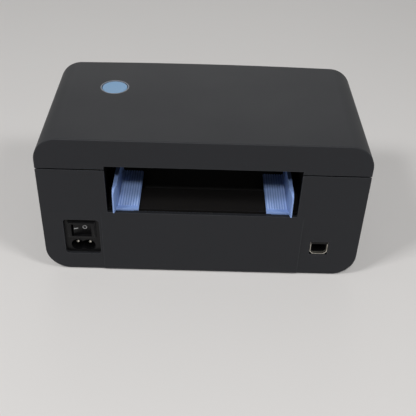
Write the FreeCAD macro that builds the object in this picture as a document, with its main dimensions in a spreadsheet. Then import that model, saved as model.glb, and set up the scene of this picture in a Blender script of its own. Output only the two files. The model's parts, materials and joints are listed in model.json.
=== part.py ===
import FreeCAD, Part
import math
import operator
import os
from types import SimpleNamespace

import Sketcher

# Thermal label printer. Millimetres, +Z up, origin under the middle of the case
# on the table. The label comes in at the rear (+Y) and leaves at the front (-Y).

driving_sizes = {
    # case
    "case_width": 218,
    "case_depth": 109,
    "front_bow": 3,
    "base_height": 84.9,
    "cover_height": 22.4,
    "corner_radius": 16.5,
    "wall": 2.5,
    "edge_radius": 0.8,
    "parting_gap": 1,
    "chamfer": 0.4,
    "foot_height": 1.2,
    "foot_radius": 5.5,
    "foot_sink": 1,
    "foot_side": 23,
    "foot_end": 12.5,
    # clearances
    "fixed_gap": 0.02,
    "run_gap": 0.05,
    "loose_gap": 0.3,
    # screws
    "screw_radius": 1.5,
    "screw_head_radius": 2.8,
    "screw_head": 1.8,
    "screw_length": 9,
    "boss_wall": 2.2,
    # hinge of the cover
    "hinge_inset": 6,
    "hinge_rise": 6,
    "roll_gap": 0.5,
    "hinge_pin_radius": 1.5,
    "hinge_eye_radius": 3,
    "hinge_ear_from_side": 25,
    "hinge_ear_width": 6,
    "hinge_neck": 5,
    "hinge_reach": 12.5,
    "hinge_web_drop": 28,
    # rear slot and the wall round it
    "slot_half": 64.5,
    "slot_draft": 0.6,
    "lip_height": 50.7,
    "slot_rise": 2.75,
    "recess_depth": 0.8,
    "recess_height": 36,
    "recess_fade": 14,
    # media bay
    "bay_half": 66,
    "cheek_wall": 2.5,
    "cheek_drop": 2.9,
    "groove_width": 2.7,
    "ledge_depth": 23.3,
    "sheet_wall": 2,
    "well_depth": 13.9,
    "ramp_gap": 10,
    "ramp_run": 39,
    "ramp_rise": 41.5,
    "post_radius": 4,
    "post_inset": 6,
    "post_y": 36,
    "post_height": 12.8,
    "bay_front_gap": 0.5,
    "bay_front_top": 66.3,
    # bottom plate
    "plate_half_depth": 41,
    "plate_border": 4,
    "plate_flange": 1.5,
    "plate_edge": 1,
    # label guides
    "guide_inner": 43.1,
    "guide_outer": 60,
    "guide_plate": 1.3,
    "guide_reach": 45.4,
    "guide_set_in": 2.6,
    "fin_wall": 2.6,
    "fin_tip": 0.9,
    "fin_lead": 7,
    "fin_height": 17,
    "fin_overhang": 1,
    "fin_corner": 4.5,
    "guide_travel": 37,
    "neck_length": 12,
    "ridge_pitch": 3.5,
    "ridge_width": 0.9,
    "ridge_height": 0.5,
    "ridge_inset": 1,
    "ridge_border": 3.5,
    # rack drive of the guides
    "tooth_module": 0.8,
    "backlash": 0.12,
    "rack_pinion_teeth": 18,
    "rack_pinion_inset": 10.3,
    "rack_height": 3.2,
    "rack_drop": 2.3,
    "rack_back": 2,
    "rack_tail": 4.8,
    "arm_height": 3.4,
    "arm_gap": 1,
    "arm_width": 4,
    "rack_cover_wall": 2.2,
    "rack_boss_inset": 3.2,
    "pinion_pin_radius": 1.5,
    "pinion_hub_radius": 3,
    # platen and its gears
    "platen_inset": 11.5,
    "platen_drop": 9.1,
    "platen_radius": 8,
    "platen_half": 57,
    "platen_round": 1,
    "shaft_radius": 2.5,
    "bush_radius": 5,
    "bush_flange_radius": 6.5,
    "bush_flange": 1.2,
    "platen_teeth": 20,
    "idler_teeth": 28,
    "motor_teeth": 14,
    "gear_width": 5,
    "gear_gap": 0.8,
    "idler_shift": 5,
    "motor_shift": 8,
    "idler_stud_radius": 2,
    "stud_head_radius": 3.4,
    "stud_head": 1,
    # stepper motor
    "motor_radius": 17.5,
    "motor_length": 20,
    "motor_flange": 1.2,
    "motor_ear_radius": 4,
    "motor_screw_span": 20.5,
    "motor_boss_radius": 7,
    "motor_shaft_radius": 1.5,
    # print head
    "exit_half": 58,
    "exit_rise": 5.9,
    "exit_drop": 2.6,
    "head_gap": 0.3,
    "head_half": 54,
    "head_thickness": 3.2,
    "head_front": 7,
    "head_back": 13,
    "sink_half": 56,
    "sink_thickness": 5,
    "sink_front": 8.5,
    "sink_back": 16.5,
    "sink_slots": 12,
    "sink_slot": 4,
    "sink_slot_depth": 2.2,
    "sink_slot_end": 4.5,
    "head_pin_radius": 1.5,
    "head_pin_back": 13,
    "head_pin_rise": 6.2,
    "bracket_wall": 1.6,
    "bracket_half": 60,
    "bracket_gap": 2.4,
    "bracket_ear": 4,
    "head_spring_radius": 3,
    "head_spring_wall": 0.7,
    "head_spring_step": 38,
    "head_spring_back": 1.5,
    "bracket_screw_x": 48,
    "bracket_screw_y": 6,
    "tear_wall": 0.8,
    "tear_height": 8,
    "tear_tooth": 1.2,
    "tear_pitch": 2,
    "tear_seat": 1.1,
    # feed button
    "feed_x": 63.9,
    "feed_from_front": 37.7,
    "feed_radius": 9,
    "feed_ring_gap": 0.15,
    "feed_ring_radius": 10,
    "feed_flange_radius": 10.8,
    "feed_flange": 1.3,
    "feed_travel": 0.8,
    "feed_sink": 0.1,
    "feed_stem_radius": 1.8,
    "feed_board_half": 8.8,
    "feed_board_tail": 19.5,
    "feed_board_wall": 1.2,
    "feed_board_drop": 5.8,
    "feed_boss_reach": 15.5,
    "feed_boss_half": 5,
    "switch_half": 3,
    "switch_height": 2.3,
    "switch_cap": 0.4,
    "feed_spring_radius": 8,
    "feed_spring_wall": 0.8,
    # side release buttons
    "release_from_front": 16.5,
    "release_width": 18,
    "release_height": 12,
    "release_drop": 12,
    "release_flange": 1.6,
    "release_flange_border": 1.6,
    "release_shank": 9,
    "release_shank_height": 5,
    "release_shank_width": 8,
    "release_nose": 3,
    "release_nose_height": 8,
    "catch_from_side": 7.5,
    "catch_wall": 2,
    "catch_width": 10,
    "catch_depth": 9,
    "release_spring_radius": 2.4,
    "release_spring_wall": 0.6,
    "release_spring_length": 6,
    "release_rib": 2.5,
    "release_rib_drop": 30,
    "lip_wall": 1.2,
    "lip_rise": 2.2,
    "lip_drop": 6,
    # power inlet and switch
    "inlet_offset": 14.1,
    "inlet_height": 28.3,
    "pocket_width": 24.6,
    "pocket_height": 30.2,
    "pocket_radius": 2.5,
    "pocket_sink": 1,
    "inlet_flange": 3.5,
    "inlet_flange_border": 0.9,
    "inlet_body_border": 0.3,
    "inlet_depth": 22,
    "socket_drop": 9.4,
    "socket_shift": 0.2,
    "socket_radius": 4.7,
    "socket_half": 3.7,
    "socket_waist": 3.3,
    "socket_depth": 8,
    "contact_half": 4.3,
    "contact_radius": 1.19,
    "contact_inset": 3,
    "contact_tail": 4,
    "rocker_rise": 4.5,
    "rocker_shift": 0.5,
    "bezel_half_width": 8.8,
    "bezel_half_height": 6.6,
    "bezel_rise": 0.8,
    "window_half_width": 7.9,
    "window_half_height": 5.6,
    "window_depth": 11,
    "rocker_half": 7.2,
    "rocker_tip": 2.6,
    "rocker_valley": 1.4,
    "rocker_root": 4,
    "rocker_root_half": 3,
    "rocker_skirt": 1.5,
    "rocker_angle": 9,
    "rocker_pivot_inset": 4.6,
    "rocker_pin_radius": 1,
    "rocker_pin_seat": 0.9,
    # power supply
    "supply_board_wall": 1.6,
    "supply_post": 6.3,
    "supply_room": 33,
    "supply_length": 59,
    "supply_border": 3.5,
    "transformer_width": 24,
    "transformer_length": 21,
    "transformer_height": 19,
    "winding_half": 8.4,
    "winding_overhang": 2.1,
    "winding_margin": 3.8,
    "transformer_from_front": 20.5,
    "capacitor_radius": 5.8,
    "capacitor_height": 22,
    "capacitor_from_rear": 18.5,
    "capacitor_step": 12.2,
    "lead_radius": 1,
    "lead_bend": 3,
    "lead_inset": 0.75,
    # main board and data socket
    "usb_offset": 13.4,
    "usb_height": 23.2,
    "usb_width": 12.04,
    "usb_tall": 10.9,
    "usb_bevel": 2,
    "usb_wall": 0.4,
    "usb_depth": 16,
    "usb_sink": 1.4,
    "usb_mouth_gap": 0.4,
    "usb_tongue_width": 5.6,
    "usb_tongue_height": 3.2,
    "usb_tongue_length": 8.8,
    "board_wall": 1.6,
    "board_border": 2.5,
    "board_length": 78,
    "board_hole_inset": 3.5,
    "board_rear_hole": 21,
    "supply_rear_hole": 8.75,
    "chip_half": 7,
    "chip_height": 1.4,
    "driver_half": 3.5,
    "driver_shift": 28,
    "header_length": 15,
    "header_width": 5,
    "header_height": 6,
    "header_inset": 10.5,
    "header_step": 16,
    # gap sensor in the ramp
    "sensor_half": 4,
    "sensor_length": 9,
    "sensor_height": 4,
    "sensor_sink": 1,
    "sensor_share": 0.72,
}

pressure_angle = math.radians(20)
root_modules = 1.25

operations = {"+": operator.add, "-": operator.sub, "*": operator.mul, "/": operator.truediv}


def combine(left, sign, right):
    left, right = as_size(left), as_size(right)
    return Size(f"({left.text} {sign} {right.text})", operations[sign](left.value, right.value))


class Size:
    """A length together with the sheet formula that gives it."""

    def __init__(self, text, value):
        self.text = text
        self.value = value

    def __add__(self, other):
        return combine(self, "+", other)

    def __radd__(self, other):
        return combine(other, "+", self)

    def __sub__(self, other):
        return combine(self, "-", other)

    def __rsub__(self, other):
        return combine(other, "-", self)

    def __mul__(self, other):
        return combine(self, "*", other)

    def __rmul__(self, other):
        return combine(other, "*", self)

    def __truediv__(self, other):
        return combine(self, "/", other)

    def __neg__(self):
        return combine(0, "-", self)

    def root(self):
        return Size(f"sqrt({self.text})", math.sqrt(self.value))


def as_size(number):
    return number if isinstance(number, Size) else Size(repr(number), number)


doc = FreeCAD.newDocument("LabelPrinter")
sheet = doc.addObject("Spreadsheet::Sheet", "Sizes")
for row, (alias, number) in enumerate(driving_sizes.items(), 1):
    sheet.set(f"A{row}", alias)
    sheet.set(f"B{row}", str(number))
    sheet.setAlias(f"B{row}", alias)
doc.recompute()
size = SimpleNamespace(**{alias: Size(f"Sizes.{alias}", number) for alias, number in driving_sizes.items()})
parts = []
both_sides = (1, -1)
close = 0.001


# Helpers for bound solids

def bind(thing, path, formula):
    thing.setExpression(path, as_size(formula).text)


def place(thing, x, y, z):
    for axis, formula in zip("xyz", (x, y, z)):
        bind(thing, f"Placement.Base.{axis}", formula)
    return thing


def ordered(span):
    return sorted((as_size(end) for end in span), key=lambda end: end.value)


def block(x, y, z):
    box = doc.addObject("Part::Box", "Block")
    lows = []
    for side, span in zip(("Length", "Width", "Height"), (x, y, z)):
        low, high = ordered(span)
        bind(box, side, high - low)
        lows.append(low)
    return place(box, *lows)


turns = {
    "x": FreeCAD.Rotation(FreeCAD.Vector(0, 1, 0), 90),
    "y": FreeCAD.Rotation(FreeCAD.Vector(1, 0, 0), -90),
    "z": FreeCAD.Rotation(),
}


def along(axis, centre, distance):
    # The point at a distance along an axis whose other two coordinates are the centre
    point = list(centre)
    point.insert("xyz".index(axis), distance)
    return point


def rod(axis, centre, radius, span):
    low, high = ordered(span)
    cylinder = doc.addObject("Part::Cylinder", "Rod")
    cylinder.Placement = FreeCAD.Placement(FreeCAD.Vector(), turns[axis])
    bind(cylinder, "Radius", radius)
    bind(cylinder, "Height", high - low)
    return place(cylinder, *along(axis, centre, low))


def fuse(*solids):
    joined = doc.addObject("Part::MultiFuse", "Fuse")
    joined.Shapes = list(solids)
    joined.Refine = True
    return joined


def common(first, second):
    shared = doc.addObject("Part::MultiCommon", "Common")
    shared.Shapes = [first, second]
    return shared


def cut(base, *tools):
    result = doc.addObject("Part::Cut", "Cut")
    result.Base = base
    result.Tool = tools[0] if len(tools) == 1 else fuse(*tools)
    result.Refine = True
    return result


def group(*solids):
    bundle = doc.addObject("Part::Compound", "Group")
    bundle.Links = list(solids)
    return bundle


def tube(axis, centre, outer, inner, span):
    return cut(rod(axis, centre, outer, span), rod(axis, centre, inner, span))


def rounded_block(x, y, z, radius):
    # A bar along Y with its four long edges rounded
    (left, right), (low, high) = ordered(x), ordered(z)
    corners = [
        rod("y", (across, up), radius, y)
        for across in (left + radius, right - radius)
        for up in (low + radius, high - radius)
    ]
    wide = block((left, right), y, (low + radius, high - radius))
    tall = block((left + radius, right - radius), y, (low, high))
    return fuse(wide, tall, *corners)


def origin_plane(body, role):
    return next(plane for plane in body.Origin.OriginFeatures if plane.Role == role)


def sketch_outline(body, role, points):
    points = [(as_size(across), as_size(up)) for across, up in points]
    corners = [FreeCAD.Vector(across.value, up.value, 0) for across, up in points]
    count = len(points)
    sketch = body.newObject("Sketcher::SketchObject", "Outline")
    sketch.AttachmentSupport = (origin_plane(body, role), [""])
    sketch.MapMode = "FlatFace"
    sketch.addGeometry([Part.LineSegment(corners[i], corners[(i + 1) % count]) for i in range(count)])
    sketch.addConstraint([Sketcher.Constraint("Coincident", i, 2, (i + 1) % count, 1) for i in range(count)])
    for i, point in enumerate(points):
        for kind, formula in zip(("DistanceX", "DistanceY"), point):
            datum = sketch.addConstraint(Sketcher.Constraint(kind, -1, 1, i, 1, formula.value))
            bind(sketch, f"Constraints[{datum}]", formula)
    return sketch


plane_roles = {"x": "YZ_Plane", "y": "XZ_Plane", "z": "XY_Plane"}


def plate(axis, points, span):
    # A plate with the given outline, from span[0] to span[1] along the axis
    low, high = ordered(span)
    body = doc.addObject("PartDesign::Body", "Plate")
    pad = body.newObject("PartDesign::Pad", "Pad")
    pad.Profile = sketch_outline(body, plane_roles[axis], points)
    bind(pad, "Length", high - low)
    start = high if axis == "y" else low
    return place(body, *along(axis, (0, 0), start))


def turned(axis, centre, points):
    # A turned piece from (radius, distance along the axis) points
    body = doc.addObject("PartDesign::Body", "Turned")
    body.Placement = FreeCAD.Placement(FreeCAD.Vector(), turns[axis])
    turning = body.newObject("PartDesign::Revolution", "Revolution")
    turning.Profile = sketch_outline(body, "XZ_Plane", points)
    turning.ReferenceAxis = (turning.Profile[0], ["V_Axis"])
    turning.Angle = 360
    return place(body, *along(axis, centre, 0))


def keep(label, solid):
    solid.Label = label
    parts.append(solid)
    return solid


def screw(axis, centre, head_low, head_high, tip):
    # A cap screw: the head between two stations, the shank on to the tip
    seat = head_high if abs(tip.value - head_high.value) < abs(tip.value - head_low.value) else head_low
    head = rod(axis, centre, size.screw_head_radius, (head_low, head_high))
    shank = rod(axis, centre, size.screw_radius - size.fixed_gap, (seat, tip))
    return fuse(head, shank)


# Shared stations of the case

half_width = size.case_width / 2
rear = (size.case_depth + size.front_bow - size.fin_overhang) / 2
front = rear - size.case_depth
middle_y = (front + rear) / 2
bottom = size.foot_height
parting = bottom + size.base_height
top = parting + size.cover_height
base_edge = parting - size.parting_gap / 2
cover_edge = parting + size.parting_gap / 2
side_inner = half_width - size.wall
rear_inner = rear - size.wall
front_inner = front + size.wall
floor_top = bottom + size.wall
ceiling = top - size.wall
bow_radius = (half_width * half_width + size.front_bow * size.front_bow) / (2 * size.front_bow)
bow_centre = front - size.front_bow + bow_radius
beyond_front = front - 2 * size.front_bow
beyond_rear = rear + size.wall

hinge_y = rear - size.hinge_inset
hinge_z = parting + size.hinge_rise
hinge_axis = (hinge_y, hinge_z)
hinge_fall = hinge_z - cover_edge
roll_radius = (size.hinge_inset * size.hinge_inset + hinge_fall * hinge_fall).root()
relief_radius = roll_radius + size.roll_gap
ear_outer = half_width - size.hinge_ear_from_side + size.hinge_ear_width
ear_inner = half_width - size.hinge_ear_from_side
knuckle_outer = ear_inner - size.loose_gap
knuckle_inner = knuckle_outer - size.hinge_ear_width
neck_front = hinge_y - size.hinge_reach

lip_top = bottom + size.lip_height
slot_top = parting + size.slot_rise
cheek_outer = size.bay_half + size.cheek_wall
cheek_top = parting - size.cheek_drop
chassis_bottom = floor_top + size.plate_flange
ledge_rear = rear_inner - size.groove_width
ledge_front = ledge_rear - size.ledge_depth
ledge_under = lip_top - size.sheet_wall
well_floor = lip_top - size.well_depth
ramp_top = well_floor + size.ramp_rise
post_x = size.bay_half - size.post_inset
post_top = chassis_bottom + size.post_height

platen_y = front + size.platen_inset
platen_z = parting - size.platen_drop
platen_axis = (platen_y, platen_z)
ramp_head = platen_y + size.ramp_gap
ramp_foot = ramp_head + size.ramp_run
gear_inner = -(cheek_outer + size.gear_gap)
gear_outer = gear_inner - size.gear_width
first_centres = (size.platen_teeth + size.idler_teeth) * size.tooth_module / 2
second_centres = (size.idler_teeth + size.motor_teeth) * size.tooth_module / 2
idler_y = platen_y + size.idler_shift
idler_z = platen_z - (first_centres * first_centres - size.idler_shift * size.idler_shift).root()
motor_y = idler_y + size.motor_shift
motor_z = idler_z - (second_centres * second_centres - size.motor_shift * size.motor_shift).root()

head_under = platen_z + size.platen_radius + size.head_gap
sink_under = head_under + size.head_thickness
sink_top = sink_under + size.sink_thickness
head_pin_axis = (platen_y + size.head_pin_back, head_under + size.head_pin_rise)
bracket_top = ceiling - size.bracket_gap
bracket_under = bracket_top - size.bracket_wall
bracket_front = platen_y - size.sink_front
bracket_rear = head_pin_axis[0] + size.bracket_ear

inlet_x = cheek_outer + size.inlet_offset
inlet_z = bottom + size.inlet_height
inlet_face = rear_inner - size.pocket_sink
socket_x = inlet_x + size.socket_shift
socket_z = inlet_z - size.socket_drop
rocker_x = inlet_x - size.rocker_shift
rocker_z = inlet_z + size.rocker_rise
bezel_face = inlet_face + size.bezel_rise
pivot_y = bezel_face - size.rocker_pivot_inset

usb_x = -(cheek_outer + size.usb_offset)
usb_z = bottom + size.usb_height
usb_mouth = rear - size.usb_sink
board_top = usb_z - size.usb_tall / 2
board_under = board_top - size.board_wall
board_inner = -(cheek_outer + size.board_border)
board_outer = -(side_inner - size.board_border)
board_rear = rear_inner - size.board_border
board_front = board_rear - size.board_length

supply_under = floor_top + size.supply_post
supply_top = supply_under + size.supply_board_wall
supply_inner = cheek_outer + size.supply_border
supply_outer = side_inner - size.supply_border
supply_rear = rear_inner - size.supply_room
supply_front = supply_rear - size.supply_length

feed_y = front + size.feed_from_front
feed_axis = (size.feed_x, feed_y)
feed_board_top = ceiling - size.feed_board_drop
feed_board_under = feed_board_top - size.feed_board_wall
feed_flange_top = ceiling - size.loose_gap
feed_flange_under = feed_flange_top - size.feed_flange

release_y = front + size.release_from_front
release_z = parting - size.release_drop
catch_outer = half_width - size.catch_from_side
catch_inner = catch_outer - size.catch_wall
shank_inner = side_inner - size.loose_gap - size.release_flange - size.release_shank
shank_top = release_z - size.release_height / 2 + size.loose_gap + size.release_shank_height
shank_under = shank_top - size.release_shank_height
spring_axis = (release_y, (shank_top + shank_under) / 2)
rib_outer = shank_inner - size.release_spring_length
full_x = (-half_width - size.wall, half_width + size.wall)

rack_top = ledge_under - size.rack_drop
rack_under = rack_top - size.rack_height
arm_top = rack_under - size.arm_gap
arm_under = arm_top - size.arm_height
rack_cover_top = arm_under - size.loose_gap
rack_cover_under = rack_cover_top - size.rack_cover_wall
pinion_y = ledge_rear - size.rack_pinion_inset
rack_pitch_radius = size.tooth_module * size.rack_pinion_teeth / 2
neck_rear = rear_inner - size.loose_gap
neck_face = ledge_rear + size.loose_gap
neck_outer = size.guide_outer - size.fin_wall / 2
neck_inner = neck_outer - size.neck_length
guide_under = lip_top + size.loose_gap
guide_top = guide_under + size.guide_plate
guide_rear = rear - size.guide_set_in
guide_front = guide_rear - size.guide_reach


# Case shells

def case_block(inset):
    # The whole case, drawn in by the inset: rounded about Y, with the front bowed out
    x = (inset - half_width, half_width - inset)
    z = (bottom + inset, top - inset)
    bar = rounded_block(x, (beyond_front, rear - inset), z, size.corner_radius - inset)
    bow = rod("z", (0, bow_centre), bow_radius - inset, (bottom - size.wall, top + size.wall))
    return common(bar, bow)


def on_rim(edge):
    # True for the edges round the rear face and round the bowed front
    samples = [edge.valueAt(edge.FirstParameter + share * (edge.LastParameter - edge.FirstParameter))
               for share in (0, 0.3, 0.7, 1)]
    reach = [math.hypot(point.x, point.y - bow_centre.value) for point in samples]
    at_rear = all(abs(point.y - rear.value) < close for point in samples)
    at_front = all(abs(distance - bow_radius.value) < close for distance in reach)
    return at_rear or at_front


def make_case_walls():
    outside = case_block(as_size(0))
    doc.recompute()
    eased = doc.addObject("Part::Fillet", "EasedCase")
    eased.Base = outside
    radius = driving_sizes["edge_radius"]
    edges = enumerate(outside.Shape.Edges, 1)
    eased.Edges = [(number, radius, radius) for number, edge in edges if on_rim(edge)]
    return cut(eased, case_block(size.wall))


def slot_opening():
    # The label slot through the rear wall, a little narrower at its lip
    low_half = size.slot_half - size.slot_draft
    high_half = size.slot_half
    outline = [(-low_half, lip_top), (low_half, lip_top), (high_half, slot_top), (-high_half, slot_top)]
    return plate("y", outline, (rear_inner - size.wall, beyond_rear))


def exit_opening():
    z = (parting - size.exit_drop, parting + size.exit_rise)
    return block((-size.exit_half, size.exit_half), (beyond_front, front_inner), z)


def usb_outline(border):
    # The data socket's outline: square above, bevelled below
    wide, tall = size.usb_width / 2 + border, size.usb_tall / 2 + border
    bevel = size.usb_bevel
    return [
        (usb_x - wide, usb_z + tall), (usb_x - wide, usb_z - tall + bevel),
        (usb_x - wide + bevel, usb_z - tall), (usb_x + wide - bevel, usb_z - tall),
        (usb_x + wide, usb_z - tall + bevel), (usb_x + wide, usb_z + tall),
    ]


def usb_opening():
    half_w, half_h = size.usb_width / 2 + size.usb_mouth_gap, size.usb_tall / 2 + size.usb_mouth_gap
    x, z = (usb_x - half_w, usb_x + half_w), (usb_z - half_h, usb_z + half_h)
    return block(x, (rear_inner - size.wall, beyond_rear), z)


def inlet_block(border, y):
    half_w, half_h = size.pocket_width / 2 + border, size.pocket_height / 2 + border
    x, z = (inlet_x - half_w, inlet_x + half_w), (inlet_z - half_h, inlet_z + half_h)
    return rounded_block(x, y, z, size.pocket_radius)


def corner_recess(side):
    # The shallow step in the rear wall beside the label bay, running out above
    low, high = bottom - size.wall, bottom + size.recess_height
    deep = rear - size.recess_depth
    outline = [(deep, low), (beyond_rear, low), (beyond_rear, high + size.recess_fade),
               (rear, high + size.recess_fade), (deep, high)]
    return plate("x", outline, (side * (size.bay_half + size.cheek_wall), side * (half_width + size.wall)))


def release_opening(side):
    y = (release_y - size.release_width / 2, release_y + size.release_width / 2)
    z = (release_z - size.release_height / 2, release_z + size.release_height / 2)
    return block((side * (side_inner - size.wall), side * (half_width + size.wall)), y, z)


def foot_places():
    x, from_middle = half_width - size.foot_side, size.case_depth / 2 - size.foot_end
    return [(side * x, middle_y + end * from_middle) for side in both_sides for end in both_sides]


def hinge_ear(side):
    # A gooseneck that carries the hinge pin from in front, out of the cover's sweep
    x = (side * ear_inner, side * ear_outer)
    web_top = hinge_z - relief_radius - size.loose_gap
    web = block(x, (neck_front, rear_inner + size.wall / 2), (web_top - size.hinge_web_drop, web_top))
    neck = block(x, (neck_front, neck_front + size.hinge_neck), (web_top, hinge_z + size.hinge_eye_radius))
    arm = block(x, (neck_front, hinge_y), (hinge_z - size.hinge_eye_radius, hinge_z + size.hinge_eye_radius))
    return [web, neck, arm, rod("x", hinge_axis, size.hinge_eye_radius, x)]


def rim_lip(side):
    # The tongue behind the parting line, with the foot that joins it to the wall
    lip_outer = side_inner - size.parting_gap / 2
    lip_inner = lip_outer - size.lip_wall
    y = (release_y + size.release_width, hinge_y - size.hinge_reach)
    low = base_edge - size.lip_drop
    tongue = block((side * lip_inner, side * lip_outer), y, (low, base_edge + size.lip_rise))
    foot_x = (side * lip_inner, side * (side_inner + size.wall / 2))
    foot = block(foot_x, y, (low, base_edge - size.lip_drop / 2))
    return [tongue, foot]


def release_rib(side):
    # The wall that backs the release spring, joined to the front of the case
    x = (side * rib_outer, side * (rib_outer - size.release_rib))
    y = (front_inner - size.wall / 2, release_y + size.release_shank_width / 2)
    high = shank_top
    return block(x, y, (high - size.release_rib_drop, high))


def board_holes():
    x = (board_inner - size.board_hole_inset, board_outer + size.board_hole_inset)
    y = (board_front + size.board_hole_inset, board_rear - size.board_rear_hole)
    return [(across, away) for across in x for away in y]


def supply_holes():
    x = (supply_inner + size.board_hole_inset, supply_outer - size.board_hole_inset)
    y = (supply_front + size.board_hole_inset, supply_rear - size.supply_rear_hole)
    return [(across, away) for across in x for away in y]


def make_base_shell(walls):
    lower = common(walls, block(full_x, (beyond_front, beyond_rear), (bottom - size.wall, base_edge)))
    plate_x = size.bay_half - size.plate_edge
    plate_y = (middle_y - size.plate_half_depth, middle_y + size.plate_half_depth)
    tools = [
        rod("x", hinge_axis, relief_radius, full_x),
        slot_opening(),
        exit_opening(),
        inlet_block(0, (rear_inner - size.wall, beyond_rear)),
        usb_opening(),
        block((-plate_x, plate_x), plate_y, (bottom - size.wall, floor_top + size.wall)),
    ]
    tools += [corner_recess(side) for side in both_sides]
    tools += [release_opening(side) for side in both_sides]
    foot_span = (bottom - size.wall, bottom + size.foot_sink)
    tools += [rod("z", place_xy, size.foot_radius + size.fixed_gap, foot_span) for place_xy in foot_places()]
    shell = cut(lower, *tools)
    added = []
    for side in both_sides:
        added += hinge_ear(side) + rim_lip(side) + [release_rib(side)]
    boss_radius = size.screw_radius + size.boss_wall
    floor_core = floor_top - size.wall / 2
    added += [rod("z", hole, boss_radius, (floor_core, board_under)) for hole in board_holes()]
    added += [rod("z", hole, boss_radius, (floor_core, supply_under)) for hole in supply_holes()]
    fittings = common(fuse(*added), case_block(size.wall / 2))
    holes = [pin_hole(side, ear_inner, ear_outer, size.fixed_gap) for side in both_sides]
    holes += [rod("z", hole, size.screw_radius, (floor_top, board_under)) for hole in board_holes()]
    holes += [rod("z", hole, size.screw_radius, (floor_top, supply_under)) for hole in supply_holes()]
    keep("base_shell", cut(fuse(shell, fittings), *holes))


def pin_hole(side, inner, outer, gap):
    margin = size.loose_gap / 2
    x = (side * (inner - margin), side * (outer + margin))
    return rod("x", hinge_axis, size.hinge_pin_radius + gap, x)


def knuckle(side):
    x = (side * knuckle_inner, side * knuckle_outer)
    eye = size.hinge_eye_radius
    strap = block(x, (hinge_y - eye, rear_inner + size.wall / 2), (hinge_z, ceiling + size.wall / 2))
    return [strap, rod("x", hinge_axis, eye, x)]


def catch(side):
    y = (release_y - size.catch_width / 2, release_y + size.catch_width / 2)
    low = base_edge - size.catch_depth
    return block((side * catch_inner, side * catch_outer), y, (low, ceiling + size.wall / 2))


def bracket_screw_places():
    y = (bracket_front + size.bracket_screw_y, bracket_rear - size.bracket_screw_y)
    return [(side * size.bracket_screw_x, away) for side in both_sides for away in y]


def feed_boss_places():
    return [(size.feed_x + size.feed_boss_reach, feed_y + end * size.feed_boss_half) for end in both_sides]


def tear_seat_face():
    return front_inner - size.front_bow + size.tear_seat


def make_cover(walls):
    above = block(full_x, (beyond_front, beyond_rear), (cover_edge, top + size.wall))
    upper = common(walls, fuse(above, rod("x", hinge_axis, roll_radius, full_x)))
    through_top = (ceiling - size.wall, top + size.wall)
    ring_hole = rod("z", feed_axis, size.feed_ring_radius + size.fixed_gap, through_top)
    shell = cut(upper, slot_opening(), exit_opening(), ring_hole)
    added = [catch(side) for side in both_sides]
    for side in both_sides:
        added += knuckle(side)
    boss_radius = size.screw_radius + size.boss_wall
    core = ceiling + size.wall / 2
    added += [rod("z", spot, boss_radius, (bracket_top, core)) for spot in bracket_screw_places()]
    added += [rod("z", spot, boss_radius, (feed_board_top, core)) for spot in feed_boss_places()]
    seat_z = (parting + size.exit_rise, bracket_under - size.loose_gap)
    seat_y = (front_inner - size.front_bow, tear_seat_face())
    seat_bar = block((-size.exit_half, size.exit_half), (seat_y[0] - size.wall / 2, seat_y[1]), seat_z)
    added.append(seat_bar)
    fittings = common(fuse(*added), case_block(size.wall / 2))
    holes = [pin_hole(side, knuckle_inner, knuckle_outer, size.run_gap) for side in both_sides]
    holes += [rod("z", spot, size.screw_radius, (bracket_top, ceiling)) for spot in bracket_screw_places()]
    holes += [rod("z", spot, size.screw_radius, (feed_board_top, ceiling)) for spot in feed_boss_places()]
    keep("cover", cut(fuse(shell, fittings), *holes))


def make_hinge_pins():
    ends = ((1, "left"), (-1, "right"))
    edge = size.chamfer
    low, high = knuckle_inner - edge, ear_outer + edge
    radius = size.hinge_pin_radius
    profile = [(0, low), (radius - edge, low), (radius, low + edge), (radius, high - edge),
               (radius - edge, high), (0, high)]
    for side, name in ends:
        points = [(across, side * station) for across, station in profile]
        keep(f"hinge_pin_{name}", turned("x", hinge_axis, points))


def make_feet():
    radius, edge = size.foot_radius, size.chamfer
    high = bottom + size.foot_sink
    profile = [(0, 0), (radius - edge, 0), (radius, edge), (radius, high), (0, high)]
    keep("rubber_feet", group(*[turned("z", spot, profile) for spot in foot_places()]))


def make_bottom_plate():
    fit = size.loose_gap
    x, half_y = size.bay_half - size.plate_edge - fit, size.plate_half_depth - fit
    flange_x = x + size.plate_border
    flange_half = half_y + size.plate_border
    flange_y = (middle_y - flange_half, middle_y + flange_half)
    pan = fuse(
        block((-x, x), (middle_y - half_y, middle_y + half_y), (bottom, floor_top)),
        block((-flange_x, flange_x), flange_y, (floor_top, chassis_bottom)),
    )
    holes = []
    for spot in post_places():
        holes.append(rod("z", spot, size.screw_radius + size.loose_gap, (bottom, chassis_bottom)))
        holes.append(rod("z", spot, size.screw_head_radius + fit, (bottom, bottom + size.screw_head)))
    keep("bottom_plate", cut(pan, *holes))
    tip = bottom + size.screw_head + size.screw_length
    screws = [screw("z", spot, bottom, bottom + size.screw_head, tip) for spot in post_places()]
    keep("bottom_screws", group(*screws))


# Media bay

def post_places():
    return [(side * post_x, middle_y + end * size.post_y) for side in both_sides for end in both_sides]


def post(side, end):
    x = (side * (post_x - size.post_radius), side * (size.bay_half + size.cheek_wall / 2))
    post_y = middle_y + end * size.post_y
    y = (post_y - size.post_radius, post_y + size.post_radius)
    return block(x, y, (chassis_bottom, post_top))


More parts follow.
